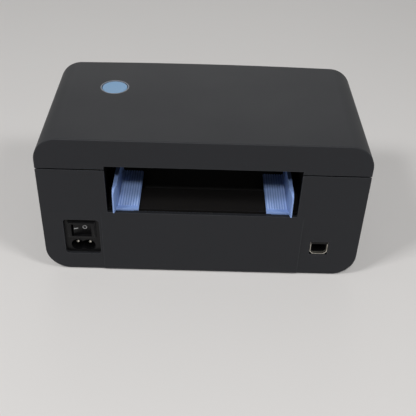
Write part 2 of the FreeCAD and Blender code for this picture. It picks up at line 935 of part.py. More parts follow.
def bay_sheet():
    # One bent sheet: ledge under the guides, drop, well floor and ramp to the platen
    wall = size.sheet_wall
    length = (size.ramp_run * size.ramp_run + size.ramp_rise * size.ramp_rise).root()
    shift_y, shift_z = wall * size.ramp_rise / length, wall * size.ramp_run / length
    under = well_floor - wall
    foot_under = ramp_foot - shift_y + (wall - shift_z) * size.ramp_run / size.ramp_rise
    outline = [
        (ledge_rear, lip_top), (ledge_front, lip_top), (ledge_front, well_floor), (ramp_foot, well_floor),
        (ramp_head, ramp_top), (ramp_head - shift_y, ramp_top - shift_z), (foot_under, under),
        (ledge_front + wall, under), (ledge_front + wall, ledge_under), (ledge_rear, ledge_under),
    ]
    return plate("x", outline, (-size.bay_half - size.cheek_wall / 2, size.bay_half + size.cheek_wall / 2))


def cheek(side):
    low_rear = rear_inner - size.inlet_flange - size.loose_gap
    step = lip_top - size.cheek_wall
    rear_edge = rear_inner - size.loose_gap
    front_edge = front_inner + size.bay_front_gap
    outline = [(front_edge, chassis_bottom), (low_rear, chassis_bottom), (low_rear, step),
               (rear_edge, step), (rear_edge, cheek_top), (front_edge, cheek_top)]
    return plate("x", outline, (side * size.bay_half, side * cheek_outer))


def rack_boss_places():
    y = (ledge_front + size.sheet_wall + size.rack_boss_inset, ledge_rear - size.rack_boss_inset)
    return [(side * (size.bay_half - size.rack_boss_inset), away) for side in both_sides for away in y]


def motor_screw_places():
    return [(motor_y, motor_z + end * size.motor_screw_span) for end in both_sides]


def make_chassis():
    bay = size.bay_half
    front_y = (front_inner + size.bay_front_gap, front_inner + size.bay_front_gap + size.sheet_wall)
    front_wall = block((-bay - size.cheek_wall / 2, bay + size.cheek_wall / 2), front_y,
                       (chassis_bottom, bottom + size.bay_front_top))
    solids = [bay_sheet(), front_wall] + [cheek(side) for side in both_sides]
    solids += [post(side, end) for side in both_sides for end in both_sides]
    boss_radius = size.screw_radius + size.boss_wall / 2
    core = ledge_under + size.sheet_wall / 2
    solids += [rod("z", spot, boss_radius, (rack_cover_top, core)) for spot in rack_boss_places()]
    holes = [rod("z", spot, size.screw_radius, (chassis_bottom, post_top)) for spot in post_places()]
    holes += [rod("z", spot, size.screw_radius, (rack_cover_top, ledge_under)) for spot in rack_boss_places()]
    for side in both_sides:
        across = (side * (bay - size.wall), side * (cheek_outer + size.wall))
        holes.append(rod("x", platen_axis, size.bush_radius + size.fixed_gap, across))
    motor_side = (-bay + size.wall, -cheek_outer - size.wall)
    holes.append(rod("x", (motor_y, motor_z), size.motor_boss_radius, motor_side))
    holes.append(rod("x", (idler_y, idler_z), size.idler_stud_radius + size.fixed_gap, motor_side))
    holes += [rod("x", spot, size.screw_radius, motor_side) for spot in motor_screw_places()]
    holes.append(sensor_block(size.loose_gap))
    keep("chassis", cut(fuse(*solids), *holes))


def sensor_block(border):
    # The gap sensor's window, part of the way up the ramp
    y = ramp_foot - size.ramp_run * size.sensor_share
    z = well_floor + size.ramp_rise * size.sensor_share
    half = size.sensor_half + border
    return block((-half, half), (y - size.sensor_length / 2 - border, y + size.sensor_length / 2 + border),
                 (z - size.sensor_height - border, z - size.sensor_sink + border))


def make_sensor():
    keep("gap_sensor", sensor_block(0))


# Label guides and their rack drive

def guide_body(side):
    outer, inner = size.guide_outer, size.guide_inner
    plate_block = block((side * inner, side * outer), (guide_front, guide_rear), (guide_under, guide_top))
    corner = size.fin_corner
    fin_rear = rear + size.fin_overhang
    fin_top = guide_top + size.fin_height
    fin_x = (side * (outer - size.fin_wall), side * outer)
    low_fin = block(fin_x, (guide_front, fin_rear), (guide_under, fin_top - corner))
    high_fin = block(fin_x, (guide_front, fin_rear - corner), (guide_under, fin_top))
    round_corner = rod("x", (fin_rear - corner, fin_top - corner), corner, fin_x)
    # The fin thins towards the rear on its inner face, to lead the labels in
    face_x, tip_x = side * (outer - size.fin_wall), side * (outer - size.fin_tip)
    lead_in = plate("z", [(face_x, fin_rear - size.fin_lead), (tip_x, fin_rear), (face_x, fin_rear)],
                    (guide_under, fin_top))
    fin = cut(fuse(low_fin, high_fin, round_corner), lead_in)
    return [plate_block, fin] + guide_ridges(side)


def guide_ridges(side):
    # Raised lines along the plate, inside a flat border
    room = size.guide_outer - size.fin_wall - size.guide_inner - size.ridge_inset * 2
    count = int(room.value // size.ridge_pitch.value) + 1
    y = (guide_front, guide_rear - size.ridge_border)
    ridges = []
    for number in range(count):
        start = size.guide_inner + size.ridge_inset + size.ridge_pitch * number
        x = (side * start, side * (start + size.ridge_width))
        ridges.append(block(x, y, (guide_top - size.guide_plate / 2, guide_top + size.ridge_height)))
    return ridges


def rack_teeth(side, rear_rack):
    # Straight-sided teeth with a gap at the pinion's own middle plane
    module, backlash = driving_sizes["tooth_module"], driving_sizes["backlash"]
    pitch = math.pi * module
    slope = math.tan(pressure_angle)
    facing = -1 if rear_rack else 1
    pitch_line = pinion_y.value - facing * rack_pitch_radius.value
    tip, root = pitch_line + facing * module, pitch_line - facing * root_modules * module
    half_pitch_wide = pitch / 4 - backlash / 4
    half_tip = half_pitch_wide - module * slope
    half_root = half_pitch_wide + root_modules * module * slope
    reach = driving_sizes["guide_travel"] + 4 * module
    teeth = []
    for number in range(-2, int(reach / pitch) + 1):
        middle = side * (number + 0.5) * pitch
        low, high = middle - half_root, middle + half_root
        flank = [(low, root), (middle - half_tip, tip), (middle + half_tip, tip), (high, root),
                 (high, root - facing), (low, root - facing)]
        corners = [FreeCAD.Vector(across, away, rack_under.value) for across, away in flank]
        face = Part.Face(Part.makePolygon(corners + corners[:1]))
        teeth.append(face.extrude(FreeCAD.Vector(0, 0, size.rack_height.value)))
    strip = doc.addObject("Part::Feature", "RackTeeth")
    strip.Shape = teeth[0].multiFuse(teeth[1:])
    return strip


def make_guide_left():
    # The +X guide: its rack runs behind the pinion, at the level of the pinion's teeth
    back_face = pinion_y + rack_pitch_radius + root_modules * size.tooth_module
    neck = block((neck_inner, neck_outer), (neck_face, neck_rear), (rack_under, guide_top))
    step = block((neck_inner, neck_outer), (back_face, neck_rear), (rack_under, rack_top))
    rail_y = (back_face, back_face + size.rack_back)
    rail = block((-size.rack_tail, neck_outer), rail_y, (rack_under, rack_top))
    keep("guide_left", fuse(*guide_body(1), neck, step, rail, rack_teeth(1, True)))


def make_guide_right():
    # The -X guide: its arm passes under the other rack to a rack in front of the pinion
    front_face = pinion_y - rack_pitch_radius - root_modules * size.tooth_module
    neck = block((-neck_inner, -neck_outer), (neck_face, neck_rear), (arm_under, guide_top))
    arm_mid = (neck_inner + neck_outer) / 2
    arm_x = (-arm_mid - size.arm_width / 2, -arm_mid + size.arm_width / 2)
    rail_y = (front_face - size.rack_back, front_face)
    arm = block(arm_x, (rail_y[0], neck_rear), (arm_under, arm_top))
    riser = block(arm_x, rail_y, (arm_under, rack_top))
    rail = block((-neck_outer, size.rack_tail), rail_y, (rack_under, rack_top))
    keep("guide_right", fuse(*guide_body(-1), neck, arm, riser, rail, rack_teeth(-1, False)))


def involute(angle):
    return math.tan(angle) - angle


def gear_face(teeth, start):
    # A spur gear's face in its own plane, one tooth centred on the start angle
    module, backlash = driving_sizes["tooth_module"], driving_sizes["backlash"]
    pitch_radius = module * teeth / 2
    base_radius = pitch_radius * math.cos(pressure_angle)
    tip_radius, root_radius = pitch_radius + module, pitch_radius - root_modules * module
    half_pitch_angle = math.pi / (2 * teeth) - backlash / (4 * pitch_radius)
    flank_start = max(base_radius, root_radius)
    steps = 5
    radii = [flank_start + (tip_radius - flank_start) * step / steps for step in range(steps + 1)]
    widest = half_pitch_angle + involute(pressure_angle)
    halves = [widest - involute(math.acos(base_radius / radius)) for radius in radii]

    def point(radius, angle):
        return FreeCAD.Vector(radius * math.cos(angle), radius * math.sin(angle), 0)

    edges = []
    for number in range(teeth):
        middle = start + 2 * math.pi * number / teeth
        after = middle + 2 * math.pi / teeth
        rising = [point(radius, middle - half) for radius, half in zip(radii, halves)]
        falling = [point(radius, middle + half) for radius, half in zip(radii, halves)][::-1]
        root_half = halves[0]
        foot_in, foot_out = point(root_radius, middle - root_half), point(root_radius, middle + root_half)
        next_foot = point(root_radius, after - root_half)
        for flank in (rising, falling):
            curve = Part.BSplineCurve()
            curve.interpolate(flank)
            edges.append(curve.toShape())
        edges.append(Part.Arc(rising[-1], point(tip_radius, middle), falling[0]).toShape())
        if flank_start > root_radius:
            edges.append(Part.makeLine(foot_in, rising[0]))
            edges.append(Part.makeLine(falling[-1], foot_out))
        edges.append(Part.Arc(foot_out, point(root_radius, (middle + after) / 2), next_foot).toShape())
    return Part.Face(Part.Wire(Part.__sortEdges__(edges)))


def gear(label, teeth, bore, width, start):
    blank = gear_face(teeth, start).extrude(FreeCAD.Vector(0, 0, width))
    wheel = doc.addObject("Part::Feature", label)
    wheel.Shape = blank.cut(Part.makeCylinder(bore, width)) if bore else blank
    return wheel


def make_guide_pinion():
    wheel = gear("PinionTeeth", driving_sizes["rack_pinion_teeth"], 0, size.rack_height.value, math.pi / 2)
    centre = FreeCAD.Vector(0, pinion_y.value, rack_under.value)
    wheel.Placement = FreeCAD.Placement(centre, FreeCAD.Rotation())
    spot = (0, pinion_y)
    hub_z = (rack_cover_top + size.loose_gap, ledge_under - size.loose_gap)
    hub = rod("z", spot, size.pinion_hub_radius, hub_z)
    bore = rod("z", spot, size.pinion_pin_radius + size.run_gap, hub_z)
    keep("guide_pinion", cut(fuse(wheel, hub), bore))


def make_rack_cover():
    spot = (0, pinion_y)
    x = size.bay_half - size.loose_gap
    y = (ledge_front + size.sheet_wall + size.loose_gap, ledge_rear)
    cover_plate = block((-x, x), y, (rack_cover_under, rack_cover_top))
    holes = [rod("z", spot, size.pinion_pin_radius + size.fixed_gap, (rack_cover_under, rack_cover_top))]
    holes += [rod("z", place_xy, size.screw_radius + size.fixed_gap, (rack_cover_under, rack_cover_top))
              for place_xy in rack_boss_places()]
    keep("rack_cover", cut(cover_plate, *holes))
    keep("pinion_pin", rod("z", spot, size.pinion_pin_radius, (rack_cover_under, ledge_under)))
    head = rack_cover_under - size.screw_head
    tip = rack_cover_top + size.screw_length / 2
    screws = [screw("z", place_xy, head, rack_cover_under, tip) for place_xy in rack_boss_places()]
    keep("rack_cover_screws", group(*screws))


# Platen and drive

def make_platen():
    ends = (gear_outer - size.stud_head, cheek_outer + size.stud_head)
    edge = size.chamfer
    radius = size.shaft_radius
    profile = [(0, ends[0]), (radius - edge, ends[0]), (radius, ends[0] + edge), (radius, ends[1] - edge),
               (radius - edge, ends[1]), (0, ends[1])]
    keep("platen_shaft", turned("x", platen_axis, profile))
    half, soft = size.platen_half, size.platen_round
    bore = size.shaft_radius + size.fixed_gap
    sleeve = [(bore, -half), (size.platen_radius - soft, -half), (size.platen_radius, soft - half),
              (size.platen_radius, half - soft), (size.platen_radius - soft, half), (bore, half)]
    keep("platen_rubber", turned("x", platen_axis, sleeve))


def make_platen_bushes():
    bore = size.shaft_radius + size.run_gap
    inner = size.bay_half - size.bush_flange
    for side, name in ((1, "left"), (-1, "right")):
        profile = [(bore, inner), (size.bush_flange_radius, inner), (size.bush_flange_radius, size.bay_half),
                   (size.bush_radius, size.bay_half), (size.bush_radius, cheek_outer), (bore, cheek_outer)]
        points = [(across, side * station) for across, station in profile]
        keep(f"platen_bush_{name}", turned("x", platen_axis, points))


def mesh_start(first_teeth, first_start, second_teeth, line_angle):
    # The start angle that puts the second gear's teeth into the first one's gaps
    share = (line_angle - first_start) * first_teeth / (2 * math.pi)
    return line_angle + math.pi - 2 * math.pi / second_teeth * (0.5 - share)


gear_turn = FreeCAD.Rotation(FreeCAD.Matrix(0, 0, 1, 0, 1, 0, 0, 0, 0, 1, 0, 0, 0, 0, 0, 1))


def set_gear(wheel, y, z):
    # Gears lie across the X axis: their own X and Y become the printer's Y and Z
    wheel.Placement = FreeCAD.Placement(FreeCAD.Vector(gear_outer.value, y.value, z.value), gear_turn)
    return wheel


def make_drive_gears():
    width = driving_sizes["gear_width"]
    counts = [driving_sizes[name] for name in ("platen_teeth", "idler_teeth", "motor_teeth")]
    to_idler = math.atan2(idler_z.value - platen_z.value, idler_y.value - platen_y.value)
    to_motor = math.atan2(motor_z.value - idler_z.value, motor_y.value - idler_y.value)
    platen_start = 0.0
    idler_start = mesh_start(counts[0], platen_start, counts[1], to_idler)
    motor_start = mesh_start(counts[1], idler_start, counts[2], to_motor)
    platen_bore = driving_sizes["shaft_radius"] + driving_sizes["fixed_gap"]
    platen_wheel = gear("PlatenGear", counts[0], platen_bore, width, platen_start)
    keep("platen_gear", set_gear(platen_wheel, platen_y, platen_z))
    idler_bore = driving_sizes["idler_stud_radius"] + driving_sizes["run_gap"]
    idler_wheel = gear("IdlerGear", counts[1], idler_bore, width, idler_start)
    keep("idler_gear", set_gear(idler_wheel, idler_y, idler_z))
    teeth = set_gear(gear("MotorTeeth", counts[2], 0, width, motor_start), motor_y, motor_z)
    shaft_x = (gear_outer - size.stud_head, -size.bay_half + size.motor_length / 2)
    keep("motor_pinion", fuse(teeth, rod("x", (motor_y, motor_z), size.motor_shaft_radius, shaft_x)))


def make_idler_stud():
    head_end = gear_outer - size.loose_gap
    radius, head = size.idler_stud_radius, size.stud_head_radius
    start = -size.bay_half - size.loose_gap
    profile = [(0, start), (radius, start), (radius, head_end), (head, head_end),
               (head, head_end - size.stud_head), (0, head_end - size.stud_head)]
    keep("idler_stud", turned("x", (idler_y, idler_z), profile))


def make_motor():
    face = -size.bay_half
    back = face + size.motor_length
    axis = (motor_y, motor_z)
    can = rod("x", axis, size.motor_radius, (face, back))
    ear_y = (motor_y - size.motor_ear_radius, motor_y + size.motor_ear_radius)
    ear_z = (motor_z - size.motor_screw_span, motor_z + size.motor_screw_span)
    flange_x = (face, face + size.motor_flange)
    ears = [rod("x", spot, size.motor_ear_radius, flange_x) for spot in motor_screw_places()]
    boss = rod("x", axis, size.motor_boss_radius - size.fixed_gap, (face - size.cheek_wall, face))
    body = fuse(can, block(flange_x, ear_y, ear_z), boss, *ears)
    inside = (face - size.cheek_wall, face + size.motor_length / 2 + size.loose_gap)
    holes = [rod("x", axis, size.motor_shaft_radius + size.run_gap, inside)]
    holes += [rod("x", spot, size.screw_radius + size.fixed_gap, flange_x) for spot in motor_screw_places()]
    keep("motor", cut(body, *holes))
    head = face + size.motor_flange
    tip = -cheek_outer
    screws = [screw("x", spot, head + size.screw_head, head, tip) for spot in motor_screw_places()]
    keep("motor_screws", group(*screws))


# Print head in the cover

def make_head_bracket():
    half = size.bracket_half
    shelf = block((-half, half), (bracket_front, bracket_rear), (bracket_under, bracket_top))
    ears = []
    pin_y, pin_z = head_pin_axis
    for side in both_sides:
        x = (side * (half - size.bracket_wall), side * half)
        ears.append(block(x, (pin_y - size.bracket_ear, bracket_rear), (pin_z, bracket_top)))
        ears.append(rod("x", head_pin_axis, size.bracket_ear, x))
    across = (-half - size.wall, half + size.wall)
    holes = [rod("x", head_pin_axis, size.head_pin_radius + size.fixed_gap, across)]
    holes += [rod("z", spot, size.screw_radius + size.fixed_gap, (bracket_under, bracket_top))
              for spot in bracket_screw_places()]
    keep("head_bracket", cut(fuse(shelf, *ears), *holes))
    tip = bracket_top + size.bracket_gap
    head = bracket_under - size.screw_head
    screws = [screw("z", spot, head, bracket_under, tip) for spot in bracket_screw_places()]
    keep("bracket_screws", group(*screws))


def make_print_head():
    y = (platen_y - size.head_front, platen_y + size.head_back)
    keep("print_head", block((-size.head_half, size.head_half), y, (head_under, sink_under)))
    half = size.sink_half
    sink_y = (platen_y - size.sink_front, platen_y + size.sink_back)
    sink = block((-half, half), sink_y, (sink_under, sink_top))
    pin_hole = rod("x", head_pin_axis, size.head_pin_radius + size.run_gap, (-half, half))
    pitch = 2 * half / size.sink_slots
    slot_z = (sink_top - size.sink_slot_depth, sink_top)
    slots = []
    for number in range(driving_sizes["sink_slots"]):
        middle = pitch * (number + 0.5) - half
        x = (middle - size.sink_slot / 2, middle + size.sink_slot / 2)
        slots.append(block(x, (sink_y[0], platen_y - size.sink_slot_end), slot_z))
    keep("heat_sink", cut(sink, pin_hole, *slots))
    reach = size.bracket_half + size.bracket_wall
    keep("head_pin", rod("x", head_pin_axis, size.head_pin_radius, (-reach, reach)))
    spring_inner = size.head_spring_radius - size.head_spring_wall
    springs = [tube("z", (step * size.head_spring_step, platen_y + size.head_spring_back),
                    size.head_spring_radius, spring_inner, (sink_top, bracket_under)) for step in (-1, 0, 1)]
    keep("head_springs", group(*springs))


def make_tear_bar():
    pitch, tooth = driving_sizes["tear_pitch"], driving_sizes["tear_tooth"]
    low = parting.value + driving_sizes["exit_rise"] - tooth
    count = int(2 * driving_sizes["exit_half"] / pitch) - 2
    left = -count * pitch / 2
    stations = range(2 * count + 1)
    edge = [(left + number * pitch / 2, low if number % 2 else low + tooth) for number in stations]
    high = low + driving_sizes["tear_height"]
    outline = edge + [(-left, high), (left, high), edge[0]]
    corners = [FreeCAD.Vector(across, 0, up) for across, up in outline]
    strip = doc.addObject("Part::Feature", "TearStrip")
    thickness = FreeCAD.Vector(0, driving_sizes["tear_wall"], 0)
    strip.Shape = Part.Face(Part.makePolygon(corners)).extrude(thickness)
    strip.Placement = FreeCAD.Placement(FreeCAD.Vector(0, tear_seat_face().value, 0), FreeCAD.Rotation())
    keep("tear_bar", strip)


# Feed button in the cover

def make_feed_button():
    radius, stem, flange = size.feed_radius, size.feed_stem_radius, size.feed_flange_radius
    high = top - size.feed_sink
    edge = size.chamfer
    stem_end = feed_board_top + size.switch_height + size.switch_cap + size.feed_travel + size.feed_sink
    profile = [(0, stem_end), (stem, stem_end), (stem, feed_flange_under), (flange, feed_flange_under),
               (flange, feed_flange_top), (radius, feed_flange_top), (radius, high - edge),
               (radius - edge, high), (0, high)]
    keep("feed_button", turned("z", feed_axis, profile))
    ring_inner = size.feed_radius + size.feed_ring_gap
    keep("feed_ring", tube("z", feed_axis, size.feed_ring_radius, ring_inner, (ceiling, top)))
    board_half = size.feed_board_half
    board_y = (feed_y - board_half, feed_y + board_half)
    board_x = (size.feed_x - board_half, size.feed_x + size.feed_board_tail)
    slab = block(board_x, board_y, (feed_board_under, feed_board_top))
    holes = [rod("z", spot, size.screw_radius + size.fixed_gap, (feed_board_under, feed_board_top))
             for spot in feed_boss_places()]
    keep("feed_board", cut(slab, *holes))
    head = feed_board_under - size.screw_head
    tip = feed_board_top + size.feed_board_drop
    screws = [screw("z", spot, head, feed_board_under, tip) for spot in feed_boss_places()]
    keep("feed_screws", group(*screws))
    half = size.switch_half
    switch_top = feed_board_top + size.switch_height
    case = block((size.feed_x - half, size.feed_x + half), (feed_y - half, feed_y + half),
                 (feed_board_top, switch_top))
    cap = rod("z", feed_axis, half / 2, (switch_top, switch_top + size.switch_cap))
    keep("feed_switch", fuse(case, cap))
    spring_inner = size.feed_spring_radius - size.feed_spring_wall
    spring = tube("z", feed_axis, size.feed_spring_radius, spring_inner, (feed_board_top, feed_flange_under))
    keep("feed_spring", spring)


# Side release buttons

def make_release_buttons():
    gap = size.loose_gap
    half_w, half_h = size.release_width / 2 - gap, size.release_height / 2 - gap
    border = size.release_flange_border + gap
    flange_outer = side_inner - gap
    flange_inner = flange_outer - size.release_flange
    nose_outer = catch_inner - gap
    shank_y = (release_y - size.release_shank_width / 2, release_y + size.release_shank_width / 2)
    for side, name in ((1, "left"), (-1, "right")):
        y, z = (release_y - half_w, release_y + half_w), (release_z - half_h, release_z + half_h)
        cap = block((side * flange_inner, side * half_width), y, z)
        flange_y = (release_y - half_w - border, release_y + half_w + border)
        flange_z = (release_z - half_h - border, release_z + half_h)
        flange = block((side * flange_inner, side * flange_outer), flange_y, flange_z)
        shank = block((side * shank_inner, side * flange_outer), shank_y, (shank_under, shank_top))
        nose = block((side * (nose_outer - size.release_nose), side * nose_outer), shank_y,
                     (shank_under, shank_top + size.release_nose_height))
        keep(f"release_button_{name}", fuse(cap, flange, shank, nose))
        inner = size.release_spring_radius - size.release_spring_wall
        spring_x = (side * rib_outer, side * shank_inner)
        spring = tube("x", spring_axis, size.release_spring_radius, inner, spring_x)
        keep(f"release_spring_{name}", spring)


# Power inlet, switch and supply

def make_inlet():
    fit = size.inlet_body_border
    back = inlet_face - size.inlet_depth
    flange = inlet_block(size.inlet_flange_border, (rear_inner - size.inlet_flange, rear_inner))
    body = inlet_block(-fit, (back, rear_inner - size.inlet_flange / 2))
    bezel_x = (rocker_x - size.bezel_half_width, rocker_x + size.bezel_half_width)
    bezel = block(bezel_x, (inlet_face, bezel_face),
                  (rocker_z - size.bezel_half_height, rocker_z + size.bezel_half_height))
    pocket = inlet_block(0, (inlet_face, rear))
    window_y = (bezel_face - size.window_depth, bezel_face)
    window = block((rocker_x - size.window_half_width, rocker_x + size.window_half_width), window_y,
                   (rocker_z - size.window_half_height, rocker_z + size.window_half_height))
    socket_y = (inlet_face - size.socket_depth, inlet_face)
    lobes = [rod("y", (socket_x + side * size.socket_half, socket_z), size.socket_radius, socket_y)
             for side in both_sides]
    waist = block((socket_x - size.socket_half, socket_x + size.socket_half), socket_y,
                  (socket_z - size.socket_waist, socket_z + size.socket_waist))
    pin_reach = size.window_half_height + size.rocker_pin_seat
    pivot_hole = rod("z", (rocker_x, pivot_y), size.rocker_pin_radius + size.run_gap,
                     (rocker_z - pin_reach, rocker_z + pin_reach))
    contact_holes = [rod("y", spot, size.contact_radius + size.fixed_gap, (back, inlet_face))
                     for spot in contact_places()]
    housing = fuse(cut(fuse(flange, body), pocket), bezel)
    keep("inlet_housing", cut(housing, window, *lobes, waist, pivot_hole, *contact_holes))
    contact_y = (back - size.contact_tail, inlet_face - size.contact_inset)
    contacts = [rod("y", spot, size.contact_radius, contact_y) for spot in contact_places()]
    keep("inlet_contacts", group(*contacts))


def contact_places():
    return [(socket_x + side * size.contact_half, socket_z) for side in both_sides]


def make_rocker():
    half, tip = size.rocker_half, size.rocker_tip
    outline = [(-half, tip), (-half, -size.rocker_skirt), (-size.rocker_root_half, -size.rocker_root),
               (size.rocker_root_half, -size.rocker_root), (half, -size.rocker_skirt), (half, tip),
               (0, size.rocker_valley)]
    tall = size.window_half_height - size.loose_gap
    paddle = plate("z", outline, (-tall, tall))
    pin_reach = size.window_half_height + size.rocker_pin_seat - size.loose_gap
    pins = rod("z", (0, 0), size.rocker_pin_radius, (-pin_reach, pin_reach))
    rocker = fuse(paddle, pins)
    rocker.Placement = FreeCAD.Placement(FreeCAD.Vector(), FreeCAD.Rotation(FreeCAD.Vector(0, 0, 1), 1))
    bind(rocker, "Placement.Rotation.Angle", size.rocker_angle)
    keep("power_rocker", place(rocker, rocker_x, pivot_y, rocker_z))


def board(x, y, z, places):
    slab = block(x, y, z)
    return cut(slab, *[rod("z", spot, size.screw_radius + size.fixed_gap, z) for spot in places])


def board_screws(places, under, over):
    tip = under - size.screw_length / 2
    return [screw("z", spot, over + size.screw_head, over, tip) for spot in places]


def make_supply():
    y = (supply_front, supply_rear)
    keep("supply_board", board((supply_inner, supply_outer), y, (supply_under, supply_top), supply_holes()))
    keep("supply_screws", group(*board_screws(supply_holes(), supply_under, supply_top)))
    middle = (supply_inner + supply_outer) / 2
    core_y = supply_front + size.transformer_from_front
    half_w, half_l = size.transformer_width / 2, size.transformer_length / 2
    core_top = supply_top + size.transformer_height
    core_x = (middle - half_w, middle + half_w)
    core = block(core_x, (core_y - half_l, core_y + half_l), (supply_top, core_top))
    winding_x = (middle - size.winding_half, middle + size.winding_half)
    winding_l = half_l + size.winding_overhang
    winding = block(winding_x, (core_y - winding_l, core_y + winding_l),
                    (supply_top + size.winding_margin, core_top - size.winding_margin))
    keep("transformer", fuse(core, winding))
    cans = []
    for side in both_sides:
        spot = (middle + side * size.capacitor_step / 2, supply_rear - size.capacitor_from_rear)
        cans.append(rod("z", spot, size.capacitor_radius, (supply_top, supply_top + size.capacitor_height)))
    keep("capacitors", group(*cans))


def make_power_leads():
    # Two insulated wires from the inlet's tails down to the supply board
    radius = driving_sizes["lead_radius"]
    bend = driving_sizes["lead_bend"]
    start_y = inlet_face.value - driving_sizes["inlet_depth"] - driving_sizes["contact_tail"]
    drop_y = supply_rear.value - driving_sizes["lead_inset"]
    leads = []
    for across, up in contact_places():
        corner = FreeCAD.Vector(across.value, drop_y, up.value)
        start = FreeCAD.Vector(across.value, start_y, up.value)
        end = FreeCAD.Vector(across.value, drop_y, supply_top.value)
        into, out = FreeCAD.Vector(0, bend, 0), FreeCAD.Vector(0, 0, -bend)
        swing = bend * (1 - math.sqrt(0.5))
        middle = corner + FreeCAD.Vector(0, swing, -swing)
        path = Part.Wire([
            Part.makeLine(start, corner + into),
            Part.Arc(corner + into, middle, corner + out).toShape(),
            Part.makeLine(corner + out, end),
        ])
        ring = Part.Wire(Part.makeCircle(radius, start, FreeCAD.Vector(0, -1, 0)))
        leads.append(path.makePipeShell([ring], True, True))
    wires = doc.addObject("Part::Feature", "PowerLeads")
    wires.Shape = Part.makeCompound(leads)
    keep("power_leads", wires)


# Main board and data socket

def make_main_board():
    y = (board_front, board_rear)
    keep("main_board", board((board_outer, board_inner), y, (board_under, board_top), board_holes()))
    keep("board_screws", group(*board_screws(board_holes(), board_under, board_top)))
    middle = (board_outer + board_inner) / 2
    chip_y = (board_front + board_rear) / 2
    half = size.chip_half
    chips = [block((middle - half, middle + half), (chip_y - half, chip_y + half),
                   (board_top, board_top + size.chip_height))]
    driver_y = chip_y - size.driver_shift
    driver_span = (driver_y - size.driver_half, driver_y + size.driver_half)
    chips.append(block((middle - half, middle + half), driver_span,
                       (board_top, board_top + size.chip_height)))
    keep("board_chips", group(*chips))
    headers = []
    header_x = board_inner - size.header_inset
    for place_y in (chip_y + size.header_step, chip_y - size.header_step):
        length = size.header_length / 2
        headers.append(block((header_x - size.header_width, header_x), (place_y - length, place_y + length),
                             (board_top, board_top + size.header_height)))
    keep("board_headers", group(*headers))


def make_usb_socket():
    back = usb_mouth - size.usb_depth
    wall = size.usb_wall
    shell = plate("y", usb_outline(0), (back, usb_mouth))
    hollow = plate("y", usb_outline(-wall), (back + wall, usb_mouth))
    keep("usb_shell", cut(shell, hollow))
    half_w, half_h = size.usb_tongue_width / 2, size.usb_tongue_height / 2
    tongue_y = (back + wall, back + wall + size.usb_tongue_length)
    keep("usb_tongue", block((usb_x - half_w, usb_x + half_w), tongue_y, (usb_z - half_h, usb_z + half_h)))


def check_and_write():
    doc.recompute()
    broken = [thing.Label for thing in doc.Objects if {"Invalid", "Error"} & set(thing.State)]
    if broken:
        raise RuntimeError("failed objects: " + ", ".join(broken))
    bad = [part.Label for part in parts if part.Shape.isNull() or not part.Shape.isValid()]
    if bad:
        raise RuntimeError("invalid solids: " + ", ".join(bad))
    os.makedirs("parts", exist_ok=True)
    for part in parts:
        part.Shape.exportStep(f"parts/{part.Label}.step")
    print(len(parts), "sub-parts written")


def main():
    walls = make_case_walls()
    make_base_shell(walls)
    make_cover(walls)
    make_hinge_pins()
    make_feet()
    make_bottom_plate()
    make_chassis()
    make_sensor()
    make_guide_left()
    make_guide_right()
    make_guide_pinion()
    make_rack_cover()
    make_platen()
    make_platen_bushes()
    make_drive_gears()
    make_idler_stud()
    make_motor()
    make_head_bracket()
    make_print_head()
    make_tear_bar()
    make_feed_button()
    make_release_buttons()
    make_inlet()
    make_rocker()
    make_supply()
    make_power_leads()
    make_main_board()
    make_usb_socket()
    check_and_write()


main()
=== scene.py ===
import bmesh
import bpy
import json
import math
from mathutils import Matrix, Vector


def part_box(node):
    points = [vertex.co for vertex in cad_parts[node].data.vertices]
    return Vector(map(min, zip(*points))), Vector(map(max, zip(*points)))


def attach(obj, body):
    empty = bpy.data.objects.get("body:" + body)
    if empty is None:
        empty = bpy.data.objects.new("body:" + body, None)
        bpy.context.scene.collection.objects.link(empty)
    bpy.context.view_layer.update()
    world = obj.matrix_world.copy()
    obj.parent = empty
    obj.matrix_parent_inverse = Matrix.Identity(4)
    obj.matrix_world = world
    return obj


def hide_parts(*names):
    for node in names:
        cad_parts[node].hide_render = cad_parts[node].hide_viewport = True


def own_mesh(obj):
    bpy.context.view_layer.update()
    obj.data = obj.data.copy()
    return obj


# Thermal label printer: finishes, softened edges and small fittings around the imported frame
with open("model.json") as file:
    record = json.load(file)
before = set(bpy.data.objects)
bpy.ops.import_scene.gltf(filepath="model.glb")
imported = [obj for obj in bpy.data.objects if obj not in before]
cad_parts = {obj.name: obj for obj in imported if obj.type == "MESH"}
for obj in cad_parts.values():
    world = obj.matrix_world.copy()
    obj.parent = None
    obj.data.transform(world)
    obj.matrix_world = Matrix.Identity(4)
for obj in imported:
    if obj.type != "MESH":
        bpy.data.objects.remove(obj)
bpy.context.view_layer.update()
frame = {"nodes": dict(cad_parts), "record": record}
nodes = frame["nodes"]
record = frame["record"]
scene = bpy.context.scene
mm = 0.001
print("frame loaded with", len(nodes), "nodes")


# Node helpers and the shader groups that several finishes share
grainNoise = {"fineDetail": 3.0, "patchDetail": 4.0}
wearNoise = {"bevelSamples": 4, "scale": 420.0, "detail": 5.0, "gain": 5.0}
dustNoise = {"speckScale": 900.0, "speckDetail": 2.0, "speckPower": 3.0, "cloudScale": 14.0,
             "cloudDetail": 3.0}


def feed(tree, socket, value):
    # a socket linked to another one, or set to a value
    if isinstance(value, bpy.types.NodeSocket):
        tree.links.new(value, socket)
    else:
        socket.default_value = value


def plug(tree, node, **inputs):
    for label, value in inputs.items():
        feed(tree, node.inputs[label.replace("_", " ")], value)
    return node


def wire(tree, kind, **inputs):
    return plug(tree, tree.nodes.new(kind), **inputs)


